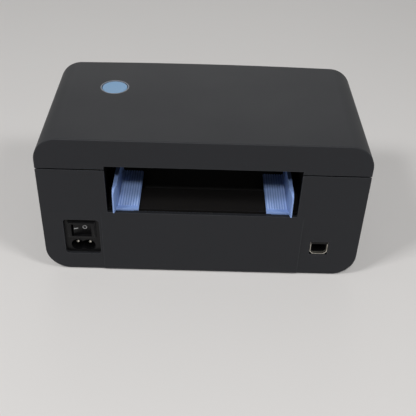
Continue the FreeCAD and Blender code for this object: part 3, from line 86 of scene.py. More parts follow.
def newTree(kind, name, inputs, outputs):
    # an empty node group: each input has a number, a vector or only the kind of its socket
    tree = bpy.data.node_groups.new(name, kind)
    for label, value in inputs.items():
        socketKind = {float: "Float", tuple: "Vector"}.get(type(value), value)
        socket = tree.interface.new_socket(label, in_out="INPUT", socket_type="NodeSocket" + socketKind)
        if socketKind != value:
            socket.default_value = value
    for label, socketKind in outputs.items():
        tree.interface.new_socket(label, in_out="OUTPUT", socket_type="NodeSocket" + socketKind)
    return tree, tree.nodes.new("NodeGroupInput").outputs, tree.nodes.new("NodeGroupOutput")


def shaderGroup(name, inputs, *outputs):
    return newTree("ShaderNodeTree", name, inputs, dict.fromkeys(outputs, "Float"))


def mathNode(tree, operation, first, second, clamp=False):
    node = tree.nodes.new("ShaderNodeMath")
    node.operation = operation
    node.use_clamp = clamp
    for socket, value in zip(node.inputs, (first, second)):
        feed(tree, socket, value)
    return node.outputs[0]


def noiseOf(tree, scale, detail, stretch=None):
    coords = tree.nodes.new("ShaderNodeTexCoord").outputs["Object"]
    if stretch:
        coords = wire(tree, "ShaderNodeMapping", Vector=coords, Scale=stretch).outputs["Vector"]
    return wire(tree, "ShaderNodeTexNoise", Vector=coords, Scale=scale, Detail=detail).outputs["Fac"]


def mouldGrainGroup():
    # spark-eroded texture of a moulded face, and slow patches across it
    tree, given, out = shaderGroup("mouldGrain", {"Grain Scale": "Float", "Patch Scale": "Float"},
                                   "Height", "Patches")
    plug(tree, out, Height=noiseOf(tree, given["Grain Scale"], grainNoise["fineDetail"]),
         Patches=noiseOf(tree, given["Patch Scale"], grainNoise["patchDetail"]))
    return tree


def edgeWearAndHighlightGroup():
    # rubbed edges and painted edge highlight: where a rounded normal leaves the true one, broken up by noise
    tree, given, out = shaderGroup("edgeWearAndHighlight", {"Width": "Float", "Strength": "Float"}, "Mask")
    bevel = wire(tree, "ShaderNodeBevel", Radius=given["Width"])
    bevel.samples = wearNoise["bevelSamples"]
    shape = tree.nodes.new("ShaderNodeNewGeometry")
    dot = tree.nodes.new("ShaderNodeVectorMath")
    dot.operation = "DOT_PRODUCT"
    for socket, source in zip(dot.inputs, (bevel, shape)):
        tree.links.new(source.outputs["Normal"], socket)
    turned = mathNode(tree, "SUBTRACT", 1.0, dot.outputs["Value"], True)
    chips = noiseOf(tree, wearNoise["scale"], wearNoise["detail"])
    broken = mathNode(tree, "MULTIPLY", turned, mathNode(tree, "MULTIPLY", chips, wearNoise["gain"]))
    plug(tree, out, Mask=mathNode(tree, "MULTIPLY", broken, given["Strength"], True))
    return tree


def dustGroup():
    # thin dust on level faces
    tree, given, out = shaderGroup("dustFilm", {"Amount": "Float"}, "Mask")
    shape = tree.nodes.new("ShaderNodeNewGeometry")
    upward = wire(tree, "ShaderNodeSeparateXYZ", Vector=shape.outputs["Normal"]).outputs["Z"]
    level = mathNode(tree, "MULTIPLY", upward, upward, True)
    dots = noiseOf(tree, dustNoise["speckScale"], dustNoise["speckDetail"])
    specks = mathNode(tree, "POWER", dots, dustNoise["speckPower"])
    cloud = noiseOf(tree, dustNoise["cloudScale"], dustNoise["cloudDetail"])
    lying = mathNode(tree, "MULTIPLY", level, mathNode(tree, "ADD", specks, cloud))
    plug(tree, out, Mask=mathNode(tree, "MULTIPLY", lying, given["Amount"], True))
    return tree


sharedGroups = {"grain": mouldGrainGroup(), "wearAndHighlight": edgeWearAndHighlightGroup(), "dust": dustGroup()}


def placeGroup(tree, key, **values):
    node = tree.nodes.new("ShaderNodeGroup")
    node.node_tree = sharedGroups[key]
    return plug(tree, node, **values)


def grainOf(tree, look):
    return placeGroup(tree, "grain", Grain_Scale=look["grainScale"], Patch_Scale=look["patchScale"])


def wearAndHighlightOf(tree, look):
    return placeGroup(tree, "wearAndHighlight", Width=look["wearAndHighlightWidth"], Strength=look["wearAndHighlight"]).outputs["Mask"]


def mixColours(tree, share, first, second):
    node = tree.nodes.new("ShaderNodeMix")
    node.data_type = "RGBA"
    for socket, value in ((node.inputs[0], share), (node.inputs[6], first), (node.inputs[7], second)):
        feed(tree, socket, (*value, 1.0) if isinstance(value, tuple) else value)
    return node.outputs[2]


def remap(tree, value, low, high):
    return wire(tree, "ShaderNodeMapRange", Value=value, To_Min=low, To_Max=high).outputs["Result"]


def bumpOf(tree, height, look):
    return wire(tree, "ShaderNodeBump", Height=height, Distance=look["bump"],
                Strength=look["bumpStrength"]).outputs["Normal"]


def startMaterial(name):
    material = bpy.data.materials.new(name)
    material.use_nodes = True
    tree = material.node_tree
    return material, tree, tree.nodes["Principled BSDF"]


def mouldedFinish(look):
    material, tree, shader = startMaterial(look["name"])
    grain = grainOf(tree, look)
    patches = grain.outputs["Patches"]
    dust = placeGroup(tree, "dust", Amount=look["dust"])
    base = mixColours(tree, patches, look["colour"], look["colourAlt"])
    # edges made lighter by wear and, on the case and guides, by painted highlight
    wornAndHighlighted = mixColours(tree, wearAndHighlightOf(tree, look), base, look["wearAndHighlightColour"])
    dusted = mixColours(tree, dust.outputs["Mask"], wornAndHighlighted, look["dustColour"])
    rough = remap(tree, patches, look["rough"] - look["roughSpread"], look["rough"] + look["roughSpread"])
    plug(tree, shader, Base_Color=dusted, Roughness=rough, Specular_IOR_Level=look["specular"],
         Normal=bumpOf(tree, grain.outputs["Height"], look))
    return material


def brushedFinish(look):
    # drawn or turned metal: long scratches along the piece, with slow stains
    material, tree, shader = startMaterial(look["name"])
    scratches = noiseOf(tree, look["scratchScale"], look["scratchDetail"], look["stretch"])
    stains = noiseOf(tree, look["stainScale"], look["stainDetail"])
    toned = mixColours(tree, remap(tree, stains, 0.0, look["stainShare"]), look["colour"], look["stain"])
    rough = remap(tree, scratches, look["rough"] - look["smoother"], look["rough"] + look["rougher"])
    plug(tree, shader, Base_Color=mixColours(tree, wearAndHighlightOf(tree, look), toned, look["bright"]),
         Metallic=1.0, Roughness=rough, Normal=bumpOf(tree, scratches, look))
    return material


def boardFinish(look):
    # solder resist with tracks under it and tinned pads
    material, tree, shader = startMaterial(look["name"])
    coords = tree.nodes.new("ShaderNodeTexCoord").outputs["Object"]
    bare, drawn = (0.0, 0.0, 0.0, 1.0), (1.0, 1.0, 1.0, 1.0)
    tracks = wire(tree, "ShaderNodeTexBrick", Vector=coords, Scale=look["trackScale"], Color1=bare,
                  Color2=bare, Mortar=drawn, Mortar_Size=look["trackWidth"]).outputs["Color"]
    pads = wire(tree, "ShaderNodeTexVoronoi", Vector=coords, Scale=look["padScale"])
    onPad = mathNode(tree, "LESS_THAN", pads.outputs["Distance"], look["padSize"])
    patches = grainOf(tree, look).outputs["Patches"]
    resist = mixColours(tree, patches, look["colour"], look["colourAlt"])
    tracked = mixColours(tree, tracks, resist, look["track"])
    plug(tree, shader, Base_Color=mixColours(tree, onPad, tracked, look["pad"]),
         Roughness=remap(tree, patches, *look["rough"]), Normal=bumpOf(tree, tracks, look))
    return material


def paintFinish(look):
    # one colour that fades in patches
    material, tree, shader = startMaterial(look["name"])
    grain = grainOf(tree, look)
    faded = tuple(look["fade"] * tone for tone in look["colour"])
    plug(tree, shader, Base_Color=mixColours(tree, grain.outputs["Patches"], look["colour"], faded),
         Roughness=remap(tree, grain.outputs["Height"], *look["rough"]),
         Specular_IOR_Level=look["specular"])
    return material


# the case's lighter edge colour is partly rubbed wear and partly painted highlight along its edges
plasticBase = {"colour": (0.0112, 0.0121, 0.0150), "colourAlt": (0.0127, 0.0136, 0.0166), "rough": 0.52,
               "roughSpread": 0.06, "specular": 0.28, "grainScale": 2600.0, "patchScale": 24.0,
               "bump": 0.00004, "bumpStrength": 0.35, "wearAndHighlight": 1.1, "wearAndHighlightWidth": 0.0005,
               "wearAndHighlightColour": (0.07, 0.074, 0.082), "dust": 0.01, "dustColour": (0.35, 0.34, 0.32)}
mouldedLooks = {
    "case_plastic": dict(name="caseCharcoal"),
    "bay_plastic": dict(
        name="bayBlack", colour=(0.0076, 0.0070, 0.0068), colourAlt=(0.0094, 0.0086, 0.0083), rough=0.55,
        specular=0.14, wearAndHighlight=0.2, dust=0.0),
    # the guides' pale edge colour is partly wear and partly painted highlight along their edges
    "guide_plastic": dict(
        name="guideBlue", colour=(0.225, 0.345, 0.67), colourAlt=(0.245, 0.37, 0.70), rough=0.42,
        roughSpread=0.05, wearAndHighlight=0.8, wearAndHighlightWidth=0.0004, wearAndHighlightColour=(0.50, 0.64, 0.92), grainScale=1800.0,
        bumpStrength=0.2, dust=0.03),
    "button_plastic": dict(
        name="buttonBlue", colour=(0.185, 0.335, 0.53), colourAlt=(0.20, 0.355, 0.55), rough=0.40, wearAndHighlight=0.3,
        wearAndHighlightColour=(0.36, 0.52, 0.72), bumpStrength=0.15, dust=0.03),
    "light_ring": dict(
        name="ringSmoke", colour=(0.15, 0.165, 0.20), colourAlt=(0.17, 0.185, 0.22), rough=0.18,
        roughSpread=0.04, wearAndHighlight=0.2, wearAndHighlightColour=(0.3, 0.33, 0.36), bumpStrength=0.05, dust=0.01),
    "black_plastic": dict(
        name="inletBlack", colour=(0.0030, 0.0030, 0.0034), colourAlt=(0.0042, 0.0042, 0.0047), rough=0.34,
        specular=0.22, wearAndHighlight=0.25, wearAndHighlightColour=(0.04, 0.04, 0.044), bumpStrength=0.2, dust=0.0),
    "gear_plastic": dict(
        name="acetalCream", colour=(0.70, 0.68, 0.60), colourAlt=(0.74, 0.72, 0.66), rough=0.38, wearAndHighlight=0.2,
        wearAndHighlightColour=(0.82, 0.80, 0.74), grainScale=900.0, bumpStrength=0.1, dust=0.02),
    "foot_rubber": dict(
        name="footRubber", colour=(0.022, 0.022, 0.022), colourAlt=(0.032, 0.031, 0.030), rough=0.82,
        specular=0.3, wearAndHighlight=0.5, wearAndHighlightColour=(0.07, 0.068, 0.064), grainScale=1500.0, bumpStrength=0.6,
        dust=0.0),
    "roller_rubber": dict(
        name="rollerRubber", colour=(0.026, 0.026, 0.028), colourAlt=(0.034, 0.034, 0.036), rough=0.7,
        specular=0.35, wearAndHighlight=0.3, wearAndHighlightColour=(0.08, 0.08, 0.08), grainScale=3200.0, bumpStrength=0.5,
        dust=0.03),
    "head_ceramic": dict(
        name="headGlaze", colour=(0.22, 0.11, 0.065), colourAlt=(0.26, 0.14, 0.085), rough=0.16,
        roughSpread=0.04, wearAndHighlight=0.2, wearAndHighlightColour=(0.4, 0.28, 0.2), grainScale=400.0, bumpStrength=0.05,
        dust=0.01),
    "socket_plastic": dict(
        name="socketBlack", colour=(0.0030, 0.0030, 0.0032), colourAlt=(0.0042, 0.0042, 0.0045), rough=0.42,
        specular=0.2, wearAndHighlight=0.2, dust=0.0),
    "winding_tape": dict(
        name="windingTape", colour=(0.58, 0.40, 0.05), colourAlt=(0.63, 0.45, 0.07), rough=0.3, wearAndHighlight=0.2,
        wearAndHighlightColour=(0.72, 0.56, 0.2), grainScale=300.0, bumpStrength=0.1),
    "capacitor_sleeve": dict(
        name="capacitorSleeve", colour=(0.022, 0.03, 0.085), colourAlt=(0.028, 0.036, 0.1), rough=0.24,
        wearAndHighlight=0.2, wearAndHighlightColour=(0.1, 0.12, 0.2), grainScale=500.0, bumpStrength=0.08),
    "lead_insulation": dict(
        name="leadBrown", colour=(0.16, 0.045, 0.02), colourAlt=(0.19, 0.055, 0.026), rough=0.4, wearAndHighlight=0.2,
        grainScale=700.0),
}
metalBase = {"colour": (0.56, 0.57, 0.58), "stain": (0.44, 0.44, 0.45), "bright": (0.75, 0.75, 0.76),
             "scratchScale": 900.0, "scratchDetail": 4.0, "stretch": (0.08, 1.0, 1.0), "stainScale": 60.0,
             "stainDetail": 4.0, "stainShare": 0.8, "rough": 0.34, "smoother": 0.1, "rougher": 0.12,
             "wearAndHighlight": 0.6, "wearAndHighlightWidth": 0.0003, "bump": 0.00002, "bumpStrength": 0.25}
allWays = (1, 1, 1)  # scratches without a direction
brushedLooks = {
    "steel": dict(name="turnedSteel"),
    "bronze": dict(
        name="sinteredBronze", colour=(0.52, 0.36, 0.18), stain=(0.36, 0.24, 0.12), bright=(0.68, 0.50, 0.28),
        rough=0.45, stretch=allWays),
    "screw_steel": dict(name="zincScrew", rough=0.38, stretch=allWays),
    "spring_steel": dict(name="springWire", colour=(0.42, 0.42, 0.43), stretch=allWays),
    "sink_aluminium": dict(
        name="milledAluminium", colour=(0.72, 0.73, 0.74), stain=(0.60, 0.61, 0.62), rough=0.32),
    "plated_contact": dict(
        name="nickelPlate", colour=(0.70, 0.67, 0.60), stain=(0.58, 0.54, 0.47), bright=(0.85, 0.82, 0.75),
        rough=0.38, stretch=allWays),
}
boardLook = {"name": "boardGreen", "colour": (0.012, 0.10, 0.045), "colourAlt": (0.016, 0.12, 0.055),
             "track": (0.03, 0.19, 0.09), "pad": (0.62, 0.60, 0.52), "trackScale": 210.0, "trackWidth": 0.05,
             "padScale": 260.0, "padSize": 0.16, "grainScale": 1200.0, "patchScale": 60.0,
             "rough": (0.28, 0.42), "bump": 0.00004, "bumpStrength": 0.5}
finishes = {slot: mouldedFinish({**plasticBase, **look}) for slot, look in mouldedLooks.items()}
finishes.update({slot: brushedFinish({**metalBase, **look}) for slot, look in brushedLooks.items()})
finishes["circuit_board"] = boardFinish(boardLook)
slotOf = {part["node"]: part["material_slot"] for part in record["subparts"]}
bodyOf = {node: body for body, members in record["behaviour"]["bodies"].items() for node in members}
jointOf = {joint["name"]: joint for joint in record["behaviour"]["joints"]}
for node, thing in nodes.items():
    thing.data.materials.clear()
    thing.data.materials.append(finishes[slotOf[node]])
print("finishes made:", len(finishes))


# Mesh helpers
softRules = {"weld": 0.002, "flatAngle": 0.4, "bevelAngle": 40, "segments": 2, "smoothAngle": 35,
             "normalWeight": 50}


def addObject(name, data):
    thing = bpy.data.objects.new(name, data)
    scene.collection.objects.link(thing)
    return thing


def smoothByAngle(mesh, degrees):
    mesh.polygons.foreach_set("use_smooth", [True] * len(mesh.polygons))
    mesh.set_sharp_from_angle(angle=math.radians(degrees))


def addPiece(name, mesh, slot, body, replaced=(), smooth=None):
    if smooth:
        smoothByAngle(mesh, smooth)
    if not mesh.materials:
        mesh.materials.append(finishes[slot])
    piece = addObject(name, mesh)
    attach(piece, body)
    if replaced:
        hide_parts(*replaced)
    return piece


def inMetres(settings, *keys):
    return [settings[key] * mm for key in keys]


def evaluatedMesh(thing):
    depsgraph = bpy.context.evaluated_depsgraph_get()
    return bpy.data.meshes.new_from_object(thing.evaluated_get(depsgraph), depsgraph=depsgraph)


def meshFrom(shape, name, outward=True):
    # a mesh from a finished bmesh, which is freed
    if outward:
        bmesh.ops.recalc_face_normals(shape, faces=shape.faces)
    mesh = bpy.data.meshes.new(name)
    shape.to_mesh(mesh)
    shape.free()
    return mesh


def bridge(shape, first, second, closed=True):
    # faces between two lines of points, all the way round or from end to end
    count = len(first)
    for step in range(count if closed else count - 1):
        after = (step + 1) % count
        shape.faces.new((first[step], first[after], second[after], second[step]))


def weldedShape(node):
    # a solid's loose triangles, joined at their corners
    shape = bmesh.new()
    shape.from_mesh(nodes[node].data)
    bmesh.ops.remove_doubles(shape, verts=shape.verts, dist=softRules["weld"] * mm)
    return shape


def mergedCopy(node):
    # a joined-up copy of a solid, with flat faces made whole
    shape = weldedShape(node)
    bmesh.ops.dissolve_limit(shape, angle_limit=math.radians(softRules["flatAngle"]), verts=shape.verts,
                             edges=shape.edges, use_dissolve_boundaries=False, delimit=set())
    mesh = meshFrom(shape, node + "Soft", outward=False)
    if "custom_normal" in mesh.attributes:
        mesh.attributes.remove(mesh.attributes["custom_normal"])
    return mesh


def throughModifier(mesh, kind, settings):
    # the mesh that one modifier makes of a mesh
    carrier = addObject("carrier", mesh)
    modifier = carrier.modifiers.new(kind, kind)
    for label, value in settings.items():
        setattr(modifier, label, value)
    made = evaluatedMesh(carrier)
    bpy.data.objects.remove(carrier)
    return made


def softenNode(node, width):
    # the same solid with its sharp edges rounded off as a mould leaves them, and its flat faces kept flat
    mesh = throughModifier(mergedCopy(node), "BEVEL", {
        "width": width * mm, "segments": softRules["segments"], "limit_method": "ANGLE",
        "angle_limit": math.radians(softRules["bevelAngle"]), "use_clamp_overlap": True})
    smoothByAngle(mesh, softRules["smoothAngle"])
    mesh = throughModifier(mesh, "WEIGHTED_NORMAL", {"weight": softRules["normalWeight"], "keep_sharp": True})
    addPiece("soft_" + node, mesh, slotOf[node], bodyOf[node], [node])


def islands(node):
    # lowest and highest corner of each separate solid in a node
    shape = weldedShape(node)
    left = set(shape.verts)
    boxes = []
    while left:
        front, found = [left.pop()], []
        while front:
            vert = front.pop()
            found.append(vert.co.copy())
            near = {edge.other_vert(vert) for edge in vert.link_edges} & left
            left -= near
            front += near
        boxes.append((Vector(map(min, *found)), Vector(map(max, *found))))
    shape.free()
    return sorted(boxes, key=lambda pair: tuple(pair[0]))


def quarterTurn(steps):
    return [step * math.pi / (2 * steps) for step in range(steps + 1)]


def lathe(points, steps, axis="Z"):
    # a turned shape from (radius, height) points about an axis through the origin
    shape = bmesh.new()
    rows = []
    for radius, height in points:
        if radius == 0:
            rows.append([shape.verts.new((0, 0, height))])
            continue
        ring = []
        for step in range(steps):
            angle = 2 * math.pi * step / steps
            ring.append(shape.verts.new((radius * math.cos(angle), radius * math.sin(angle), height)))
        rows.append(ring)
    for low, high in zip(rows, rows[1:]):
        for step in range(steps):
            after = (step + 1) % steps
            around = ((low, step), (low, after), (high, after), (high, step))
            corners = list(dict.fromkeys(row[spot % len(row)] for row, spot in around))
            if len(corners) > 2:
                shape.faces.new(corners)
    mesh = meshFrom(shape, "turned")
    if axis == "Y":
        mesh.transform(Matrix.Rotation(math.radians(-90), 4, "X"))
    return mesh


def joinMeshes(name, placed):
    # one mesh from (mesh, offset) pairs
    shape = bmesh.new()
    for mesh, offset in placed:
        copy = mesh.copy()
        copy.transform(Matrix.Translation(offset))
        shape.from_mesh(copy)
        bpy.data.meshes.remove(copy)
    return meshFrom(shape, name, outward=False)


def turnedCopies(name, node, profileOf, steps):
    # a turned shape in the place of each solid of a node, from a profile for its radius and height
    placed = []
    for low, high in islands(node):
        mesh = lathe(profileOf((high.x - low.x) / 2, high.z - low.z), steps)
        placed.append((mesh, Vector(((low.x + high.x) / 2, (low.y + high.y) / 2, low.z))))
    return joinMeshes(name, placed)


def boxMesh(low, high, bevel):
    shape = bmesh.new()
    bmesh.ops.create_cube(shape, size=1.0)
    for vert in shape.verts:
        vert.co = Vector([low[i] + (vert.co[i] + 0.5) * (high[i] - low[i]) for i in range(3)])
    bmesh.ops.bevel(shape, geom=shape.edges[:], offset=bevel, segments=softRules["segments"], affect="EDGES",
                    profile=0.5)
    return meshFrom(shape, "block", outward=False)


# Geometry node trees for what repeats
screwShape = {"headRadius": 2.8, "headHeight": 1.8, "shankRadius": 1.48, "crownShare": 0.8,
              "recessLong": 1.15, "recessWide": 0.26, "recessDeep": 1.3, "headSides": 28, "shankSides": 20,
              "turnSeed": 7}
coilShape = {"turnSteps": 20, "wireSides": 8}
beadShape = {"sides": 12}


def shapeTree(name, inputs):
    # an empty tree that grows a shape from places
    return newTree("GeometryNodeTree", name, {"Places": "Geometry", **inputs, "Material": "Material"},
                   {"Geometry": "Geometry"})


def upVector(tree, height):
    return wire(tree, "ShaderNodeCombineXYZ", Z=height).outputs[0]


def closeTree(tree, given, out, shape):
    # real faces with one finish, as every tree ends
    real = wire(tree, "GeometryNodeRealizeInstances", Geometry=shape)
    finish = wire(tree, "GeometryNodeSetMaterial", Geometry=real.outputs[0], Material=given["Material"])
    tree.links.new(finish.outputs[0], out.inputs[0])


def spreadOver(tree, given, out, shape, turnSeed=None):
    # a shape on each of the places, facing the direction, with a turn of its own where there is a seed
    aim = wire(tree, "FunctionNodeAlignRotationToVector", Vector=given["Direction"])
    aim.axis = "Z"
    spread = wire(tree, "GeometryNodeInstanceOnPoints", Points=given["Places"], Instance=shape,
                  Rotation=aim.outputs[0])
    if turnSeed is not None:
        chance = tree.nodes.new("FunctionNodeRandomValue")
        chance.data_type = "FLOAT"
        chance.inputs["Max"].default_value = math.pi
        chance.inputs["Seed"].default_value = turnSeed
        spread = wire(tree, "GeometryNodeRotateInstances", Instances=spread.outputs[0],
                      Rotation=upVector(tree, chance.outputs[1]))
    closeTree(tree, given, out, spread.outputs[0])


def joined(tree, *shapes):
    node = tree.nodes.new("GeometryNodeJoinGeometry")
    for shape in shapes:
        tree.links.new(shape, node.inputs[0])
    return node.outputs[0]


def crossScrewTree():
    tree, given, out = shapeTree("crossScrew", {
        "Head Radius": screwShape["headRadius"] * mm, "Head Height": screwShape["headHeight"] * mm,
        "Shank Radius": screwShape["shankRadius"] * mm, "Length": "Float", "Direction": "Vector"})
    radius, height, length = (given[label] for label in ("Head Radius", "Head Height", "Length"))
    crown = mathNode(tree, "MULTIPLY", radius, screwShape["crownShare"])
    cone = wire(tree, "GeometryNodeMeshCone", Vertices=screwShape["headSides"], Radius_Top=crown,
                Radius_Bottom=radius, Depth=height)
    head = wire(tree, "GeometryNodeTransform", Geometry=cone.outputs["Mesh"],
                Translation=upVector(tree, mathNode(tree, "MULTIPLY", height, -1.0)))
    arm = wire(tree, "ShaderNodeCombineXYZ",
               X=mathNode(tree, "MULTIPLY", radius, screwShape["recessLong"]),
               Y=mathNode(tree, "MULTIPLY", radius, screwShape["recessWide"]),
               Z=mathNode(tree, "MULTIPLY", height, screwShape["recessDeep"])).outputs[0]
    first = wire(tree, "GeometryNodeMeshCube", Size=arm).outputs["Mesh"]
    second = wire(tree, "GeometryNodeTransform", Geometry=first, Rotation=(0, 0, math.pi / 2)).outputs[0]
    recess = tree.nodes.new("GeometryNodeMeshBoolean")
    recess.operation = "DIFFERENCE"
    tree.links.new(head.outputs[0], recess.inputs["Mesh 1"])
    for cutter in (first, second):
        tree.links.new(cutter, recess.inputs["Mesh 2"])
    shank = wire(tree, "GeometryNodeMeshCylinder", Vertices=screwShape["shankSides"],
                 Radius=given["Shank Radius"], Depth=mathNode(tree, "SUBTRACT", length, height))
    middle = mathNode(tree, "MULTIPLY", mathNode(tree, "ADD", length, height), -0.5)
    lowered = wire(tree, "GeometryNodeTransform", Geometry=shank.outputs["Mesh"],
                   Translation=upVector(tree, middle))
    spreadOver(tree, given, out, joined(tree, recess.outputs[0], lowered.outputs[0]), screwShape["turnSeed"])
    return tree


def coilTree():
    sizes = dict.fromkeys(("Turns", "Radius", "Wire Radius", "Height"), "Float")
    tree, given, out = shapeTree("coilSpring", {**sizes, "Direction": "Vector"})
    radius = given["Radius"]
    spiral = wire(tree, "GeometryNodeCurveSpiral", Resolution=coilShape["turnSteps"], Height=given["Height"],
                  Rotations=given["Turns"], Start_Radius=radius, End_Radius=radius)
    section = wire(tree, "GeometryNodeCurvePrimitiveCircle", Resolution=coilShape["wireSides"],
                   Radius=given["Wire Radius"])
    coil = wire(tree, "GeometryNodeCurveToMesh", Curve=spiral.outputs[0], Profile_Curve=section.outputs[0],
                Fill_Caps=True)
    spreadOver(tree, given, out, coil.outputs[0])
    return tree


def chipTree():
    # small blocks, one at each place
    tree, given, out = shapeTree("surfaceParts", {"Size": "Vector", "Direction": (0, 0, 1)})
    body = wire(tree, "GeometryNodeMeshCube", Size=given["Size"]).outputs["Mesh"]
    spreadOver(tree, given, out, body)
    return tree


def beadTree():
    # a round bead through the places, in their order
    tree, given, out = shapeTree("rimBead", {"Bead Radius": "Float"})
    points = wire(tree, "GeometryNodeMeshToPoints", Mesh=given["Places"])
    path = wire(tree, "GeometryNodePointsToCurves", Points=points.outputs[0])
    section = wire(tree, "GeometryNodeCurvePrimitiveCircle", Resolution=beadShape["sides"],
                   Radius=given["Bead Radius"])
    bead = wire(tree, "GeometryNodeCurveToMesh", Curve=path.outputs[0], Profile_Curve=section.outputs[0],
                Fill_Caps=True)
    closeTree(tree, given, out, bead.outputs[0])
    return tree


trees = {"screw": crossScrewTree(), "coil": coilTree(), "chip": chipTree(), "bead": beadTree()}


def growPiece(name, key, places, values, slot, body, replaced=(), smooth=30, finish=None):
    seed = bpy.data.meshes.new(name + "Places")
    seed.from_pydata([tuple(spot) for spot in places], [], [])
    carrier = addObject(name + "Carrier", seed)
    modifier = carrier.modifiers.new(name, "NODES")
    modifier.node_group = trees[key]
    finish = finish or finishes[slot]
    settings = {**values, "Material": finish}
    for item in trees[key].interface.items_tree:
        if item.in_out == "INPUT" and item.name in settings:
            modifier[item.identifier] = settings[item.name]
    mesh = evaluatedMesh(carrier)
    bpy.data.objects.remove(carrier)
    mesh.materials.clear()
    mesh.materials.append(finish)
    return addPiece(name, mesh, slot, body, replaced, smooth)


# Case and other mouldings with rounded edges
softEdges = {"base_shell": 0.7, "cover": 0.25, "guide_left": 0.2, "guide_right": 0.2, "inlet_housing": 0.2,
             "power_rocker": 0.3, "usb_shell": 0.08, "release_button_left": 0.35,
             "release_button_right": 0.35, "bottom_plate": 0.3, "chassis": 0.25, "head_bracket": 0.2,
             "heat_sink": 0.2, "rack_cover": 0.3, "transformer": 0.8, "motor": 0.6, "gap_sensor": 0.3,
             "feed_switch": 0.2, "board_headers": 0.3}
for node, width in softEdges.items():
    softenNode(node, width)
print("softened mouldings:", len(softEdges))

# Moulded bead on the base's rim, which closes the parting line beside the exit slot and along the sides
rimBead = {"radius": 0.44, "rim": 85.6, "inset": 1.4, "bow": 3.0, "from": 59.0, "steps": 12, "end": 42.0,
           "smooth": 50}


def makeRimBead(side):
    low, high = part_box("base_shell")
    half, front = high.x / mm, low.y / mm
    reach = half - rimBead["inset"]
    places = []
    for step in range(rimBead["steps"] + 1):
        across = rimBead["from"] + (reach - rimBead["from"]) * step / rimBead["steps"]
        places.append((across, front + rimBead["bow"] * (across / half) ** 2 + rimBead["inset"]))
    places.append((reach, rimBead["end"]))
    up = (rimBead["rim"] + rimBead["radius"]) * mm
    growPiece("rimBead_left" if side > 0 else "rimBead_right", "bead",
              [(side * across * mm, away * mm, up) for across, away in places],
              {"Bead Radius": rimBead["radius"] * mm}, "bay_plastic", "base", smooth=rimBead["smooth"])


makeRimBead(1)
makeRimBead(-1)

# Label guides: ribs over each plate's raised lines and between them, in a paler blue than the plate: painted
# highlight on the rib tops
fineRibs = {"count": 8, "pitch": 1.75, "fromSide": 3.2, "fromRear": 7.08, "length": 41.94, "width": 0.94,
            "height": 0.52, "underFin": 17.0,
            "look": {"name": "ribHighlightBlue", "colour": (0.36, 0.51, 0.86), "colourAlt": (0.46, 0.61, 0.92),
                     "rough": 0.38, "wearAndHighlight": 0.0, "patchScale": 500.0, "grainScale": 1800.0,
                     "bumpStrength": 0.2}}
# the ribs' paler blue is painted highlight for light caught on their tops
ribHighlightFinish = mouldedFinish({**plasticBase, **fineRibs["look"]})


def makeFineRibs(node, side):
    low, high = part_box(node)
    outer = high.x if side > 0 else low.x
    middle = high.y - (fineRibs["fromRear"] + fineRibs["length"] / 2) * mm
    up = high.z - (fineRibs["underFin"] - fineRibs["height"] / 2) * mm
    places = [(outer - side * (fineRibs["fromSide"] + number * fineRibs["pitch"]) * mm, middle, up)
              for number in range(fineRibs["count"])]
    growPiece("fineRibs_" + node, "chip", places,
              {"Size": tuple(inMetres(fineRibs, "width", "length", "height"))},
              slotOf[node], bodyOf[node], finish=ribHighlightFinish)


makeFineRibs("guide_left", 1)
makeFineRibs("guide_right", -1)
print("guides ribbed")

# Screws, all with a cross recess
screwRows = {"bottom_screws": (0, 0, -1), "rack_cover_screws": (0, 0, -1), "bracket_screws": (0, 0, -1),
             "feed_screws": (0, 0, -1), "supply_screws": (0, 0, 1), "board_screws": (0, 0, 1),
             "motor_screws": (1, 0, 0)}
for node, direction in screwRows.items():
    aim = Vector(direction)
    boxes = islands(node)
    centres = [(low + high) / 2 for low, high in boxes]
    length = abs((boxes[0][1] - boxes[0][0]).dot(aim))
    growPiece("cross_" + node, "screw", [centre + aim * length / 2 for centre in centres],
              {"Length": length, "Direction": direction}, "screw_steel", bodyOf[node], [node])
print("screws set:", sum(len(islands(node)) for node in screwRows))

# Springs as wound wire
springSet = {
    "head_springs": {"axis": 2, "turns": 6.0, "wire": 0.35, "joint": "head_pivot", "fixedEnd": 1,
                     "travel": 0.68},
    "feed_spring": {"axis": 2, "turns": 2.5, "wire": 0.35, "joint": "feed_press", "fixedEnd": 0,
                    "travel": 0.8},
    "release_spring_left": {"axis": 0, "turns": 6.0, "wire": 0.3, "joint": "release_left_press",
                            "fixedEnd": 0, "travel": 2.5},
    "release_spring_right": {"axis": 0, "turns": 6.0, "wire": 0.3, "joint": "release_right_press",
                             "fixedEnd": 1, "travel": 2.5},
}
springSmooth = 80


def windSpring(node, spring):
    axis = spring["axis"]
    direction = Vector([float(index == axis) for index in range(3)])
    boxes = islands(node)
    low, high = boxes[0]
    height = high[axis] - low[axis]
    wireRadius = spring["wire"] * mm
    starts = [(pair[0] + pair[1]) / 2 - direction * (height / 2 - wireRadius) for pair in boxes]
    outer = max((high - low)[index] for index in range(3) if index != axis) / 2
    piece = growPiece("coil_" + node, "coil", starts, {
        "Turns": spring["turns"], "Radius": outer - wireRadius, "Wire Radius": wireRadius,
        "Height": height - 2 * wireRadius, "Direction": tuple(direction)},
        "spring_steel", bodyOf[node], [node], springSmooth)
    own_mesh(piece)


for node, spring in springSet.items():
    windSpring(node, spring)
print("springs wound:", len(springSet))

# Power switch marks: a bar near one end of the rocker and a ring by its middle
rockerMarks = {"joint": "rocker_tilt", "restAngle": 9.0, "half": 7.2, "tip": 2.6, "valley": 1.4,
               "raise": 0.04, "barPlace": 5.4, "barSize": (2.8, 0.6), "ringPlace": -0.6, "ringRadius": 1.5,
               "ringWidth": 0.45, "ringSteps": 36,
               "look": {"name": "markPaint", "colour": (0.62, 0.63, 0.64), "fade": 0.7, "rough": (0.4, 0.6),
                        "specular": 0.5, "grainScale": 900.0, "patchScale": 300.0}}


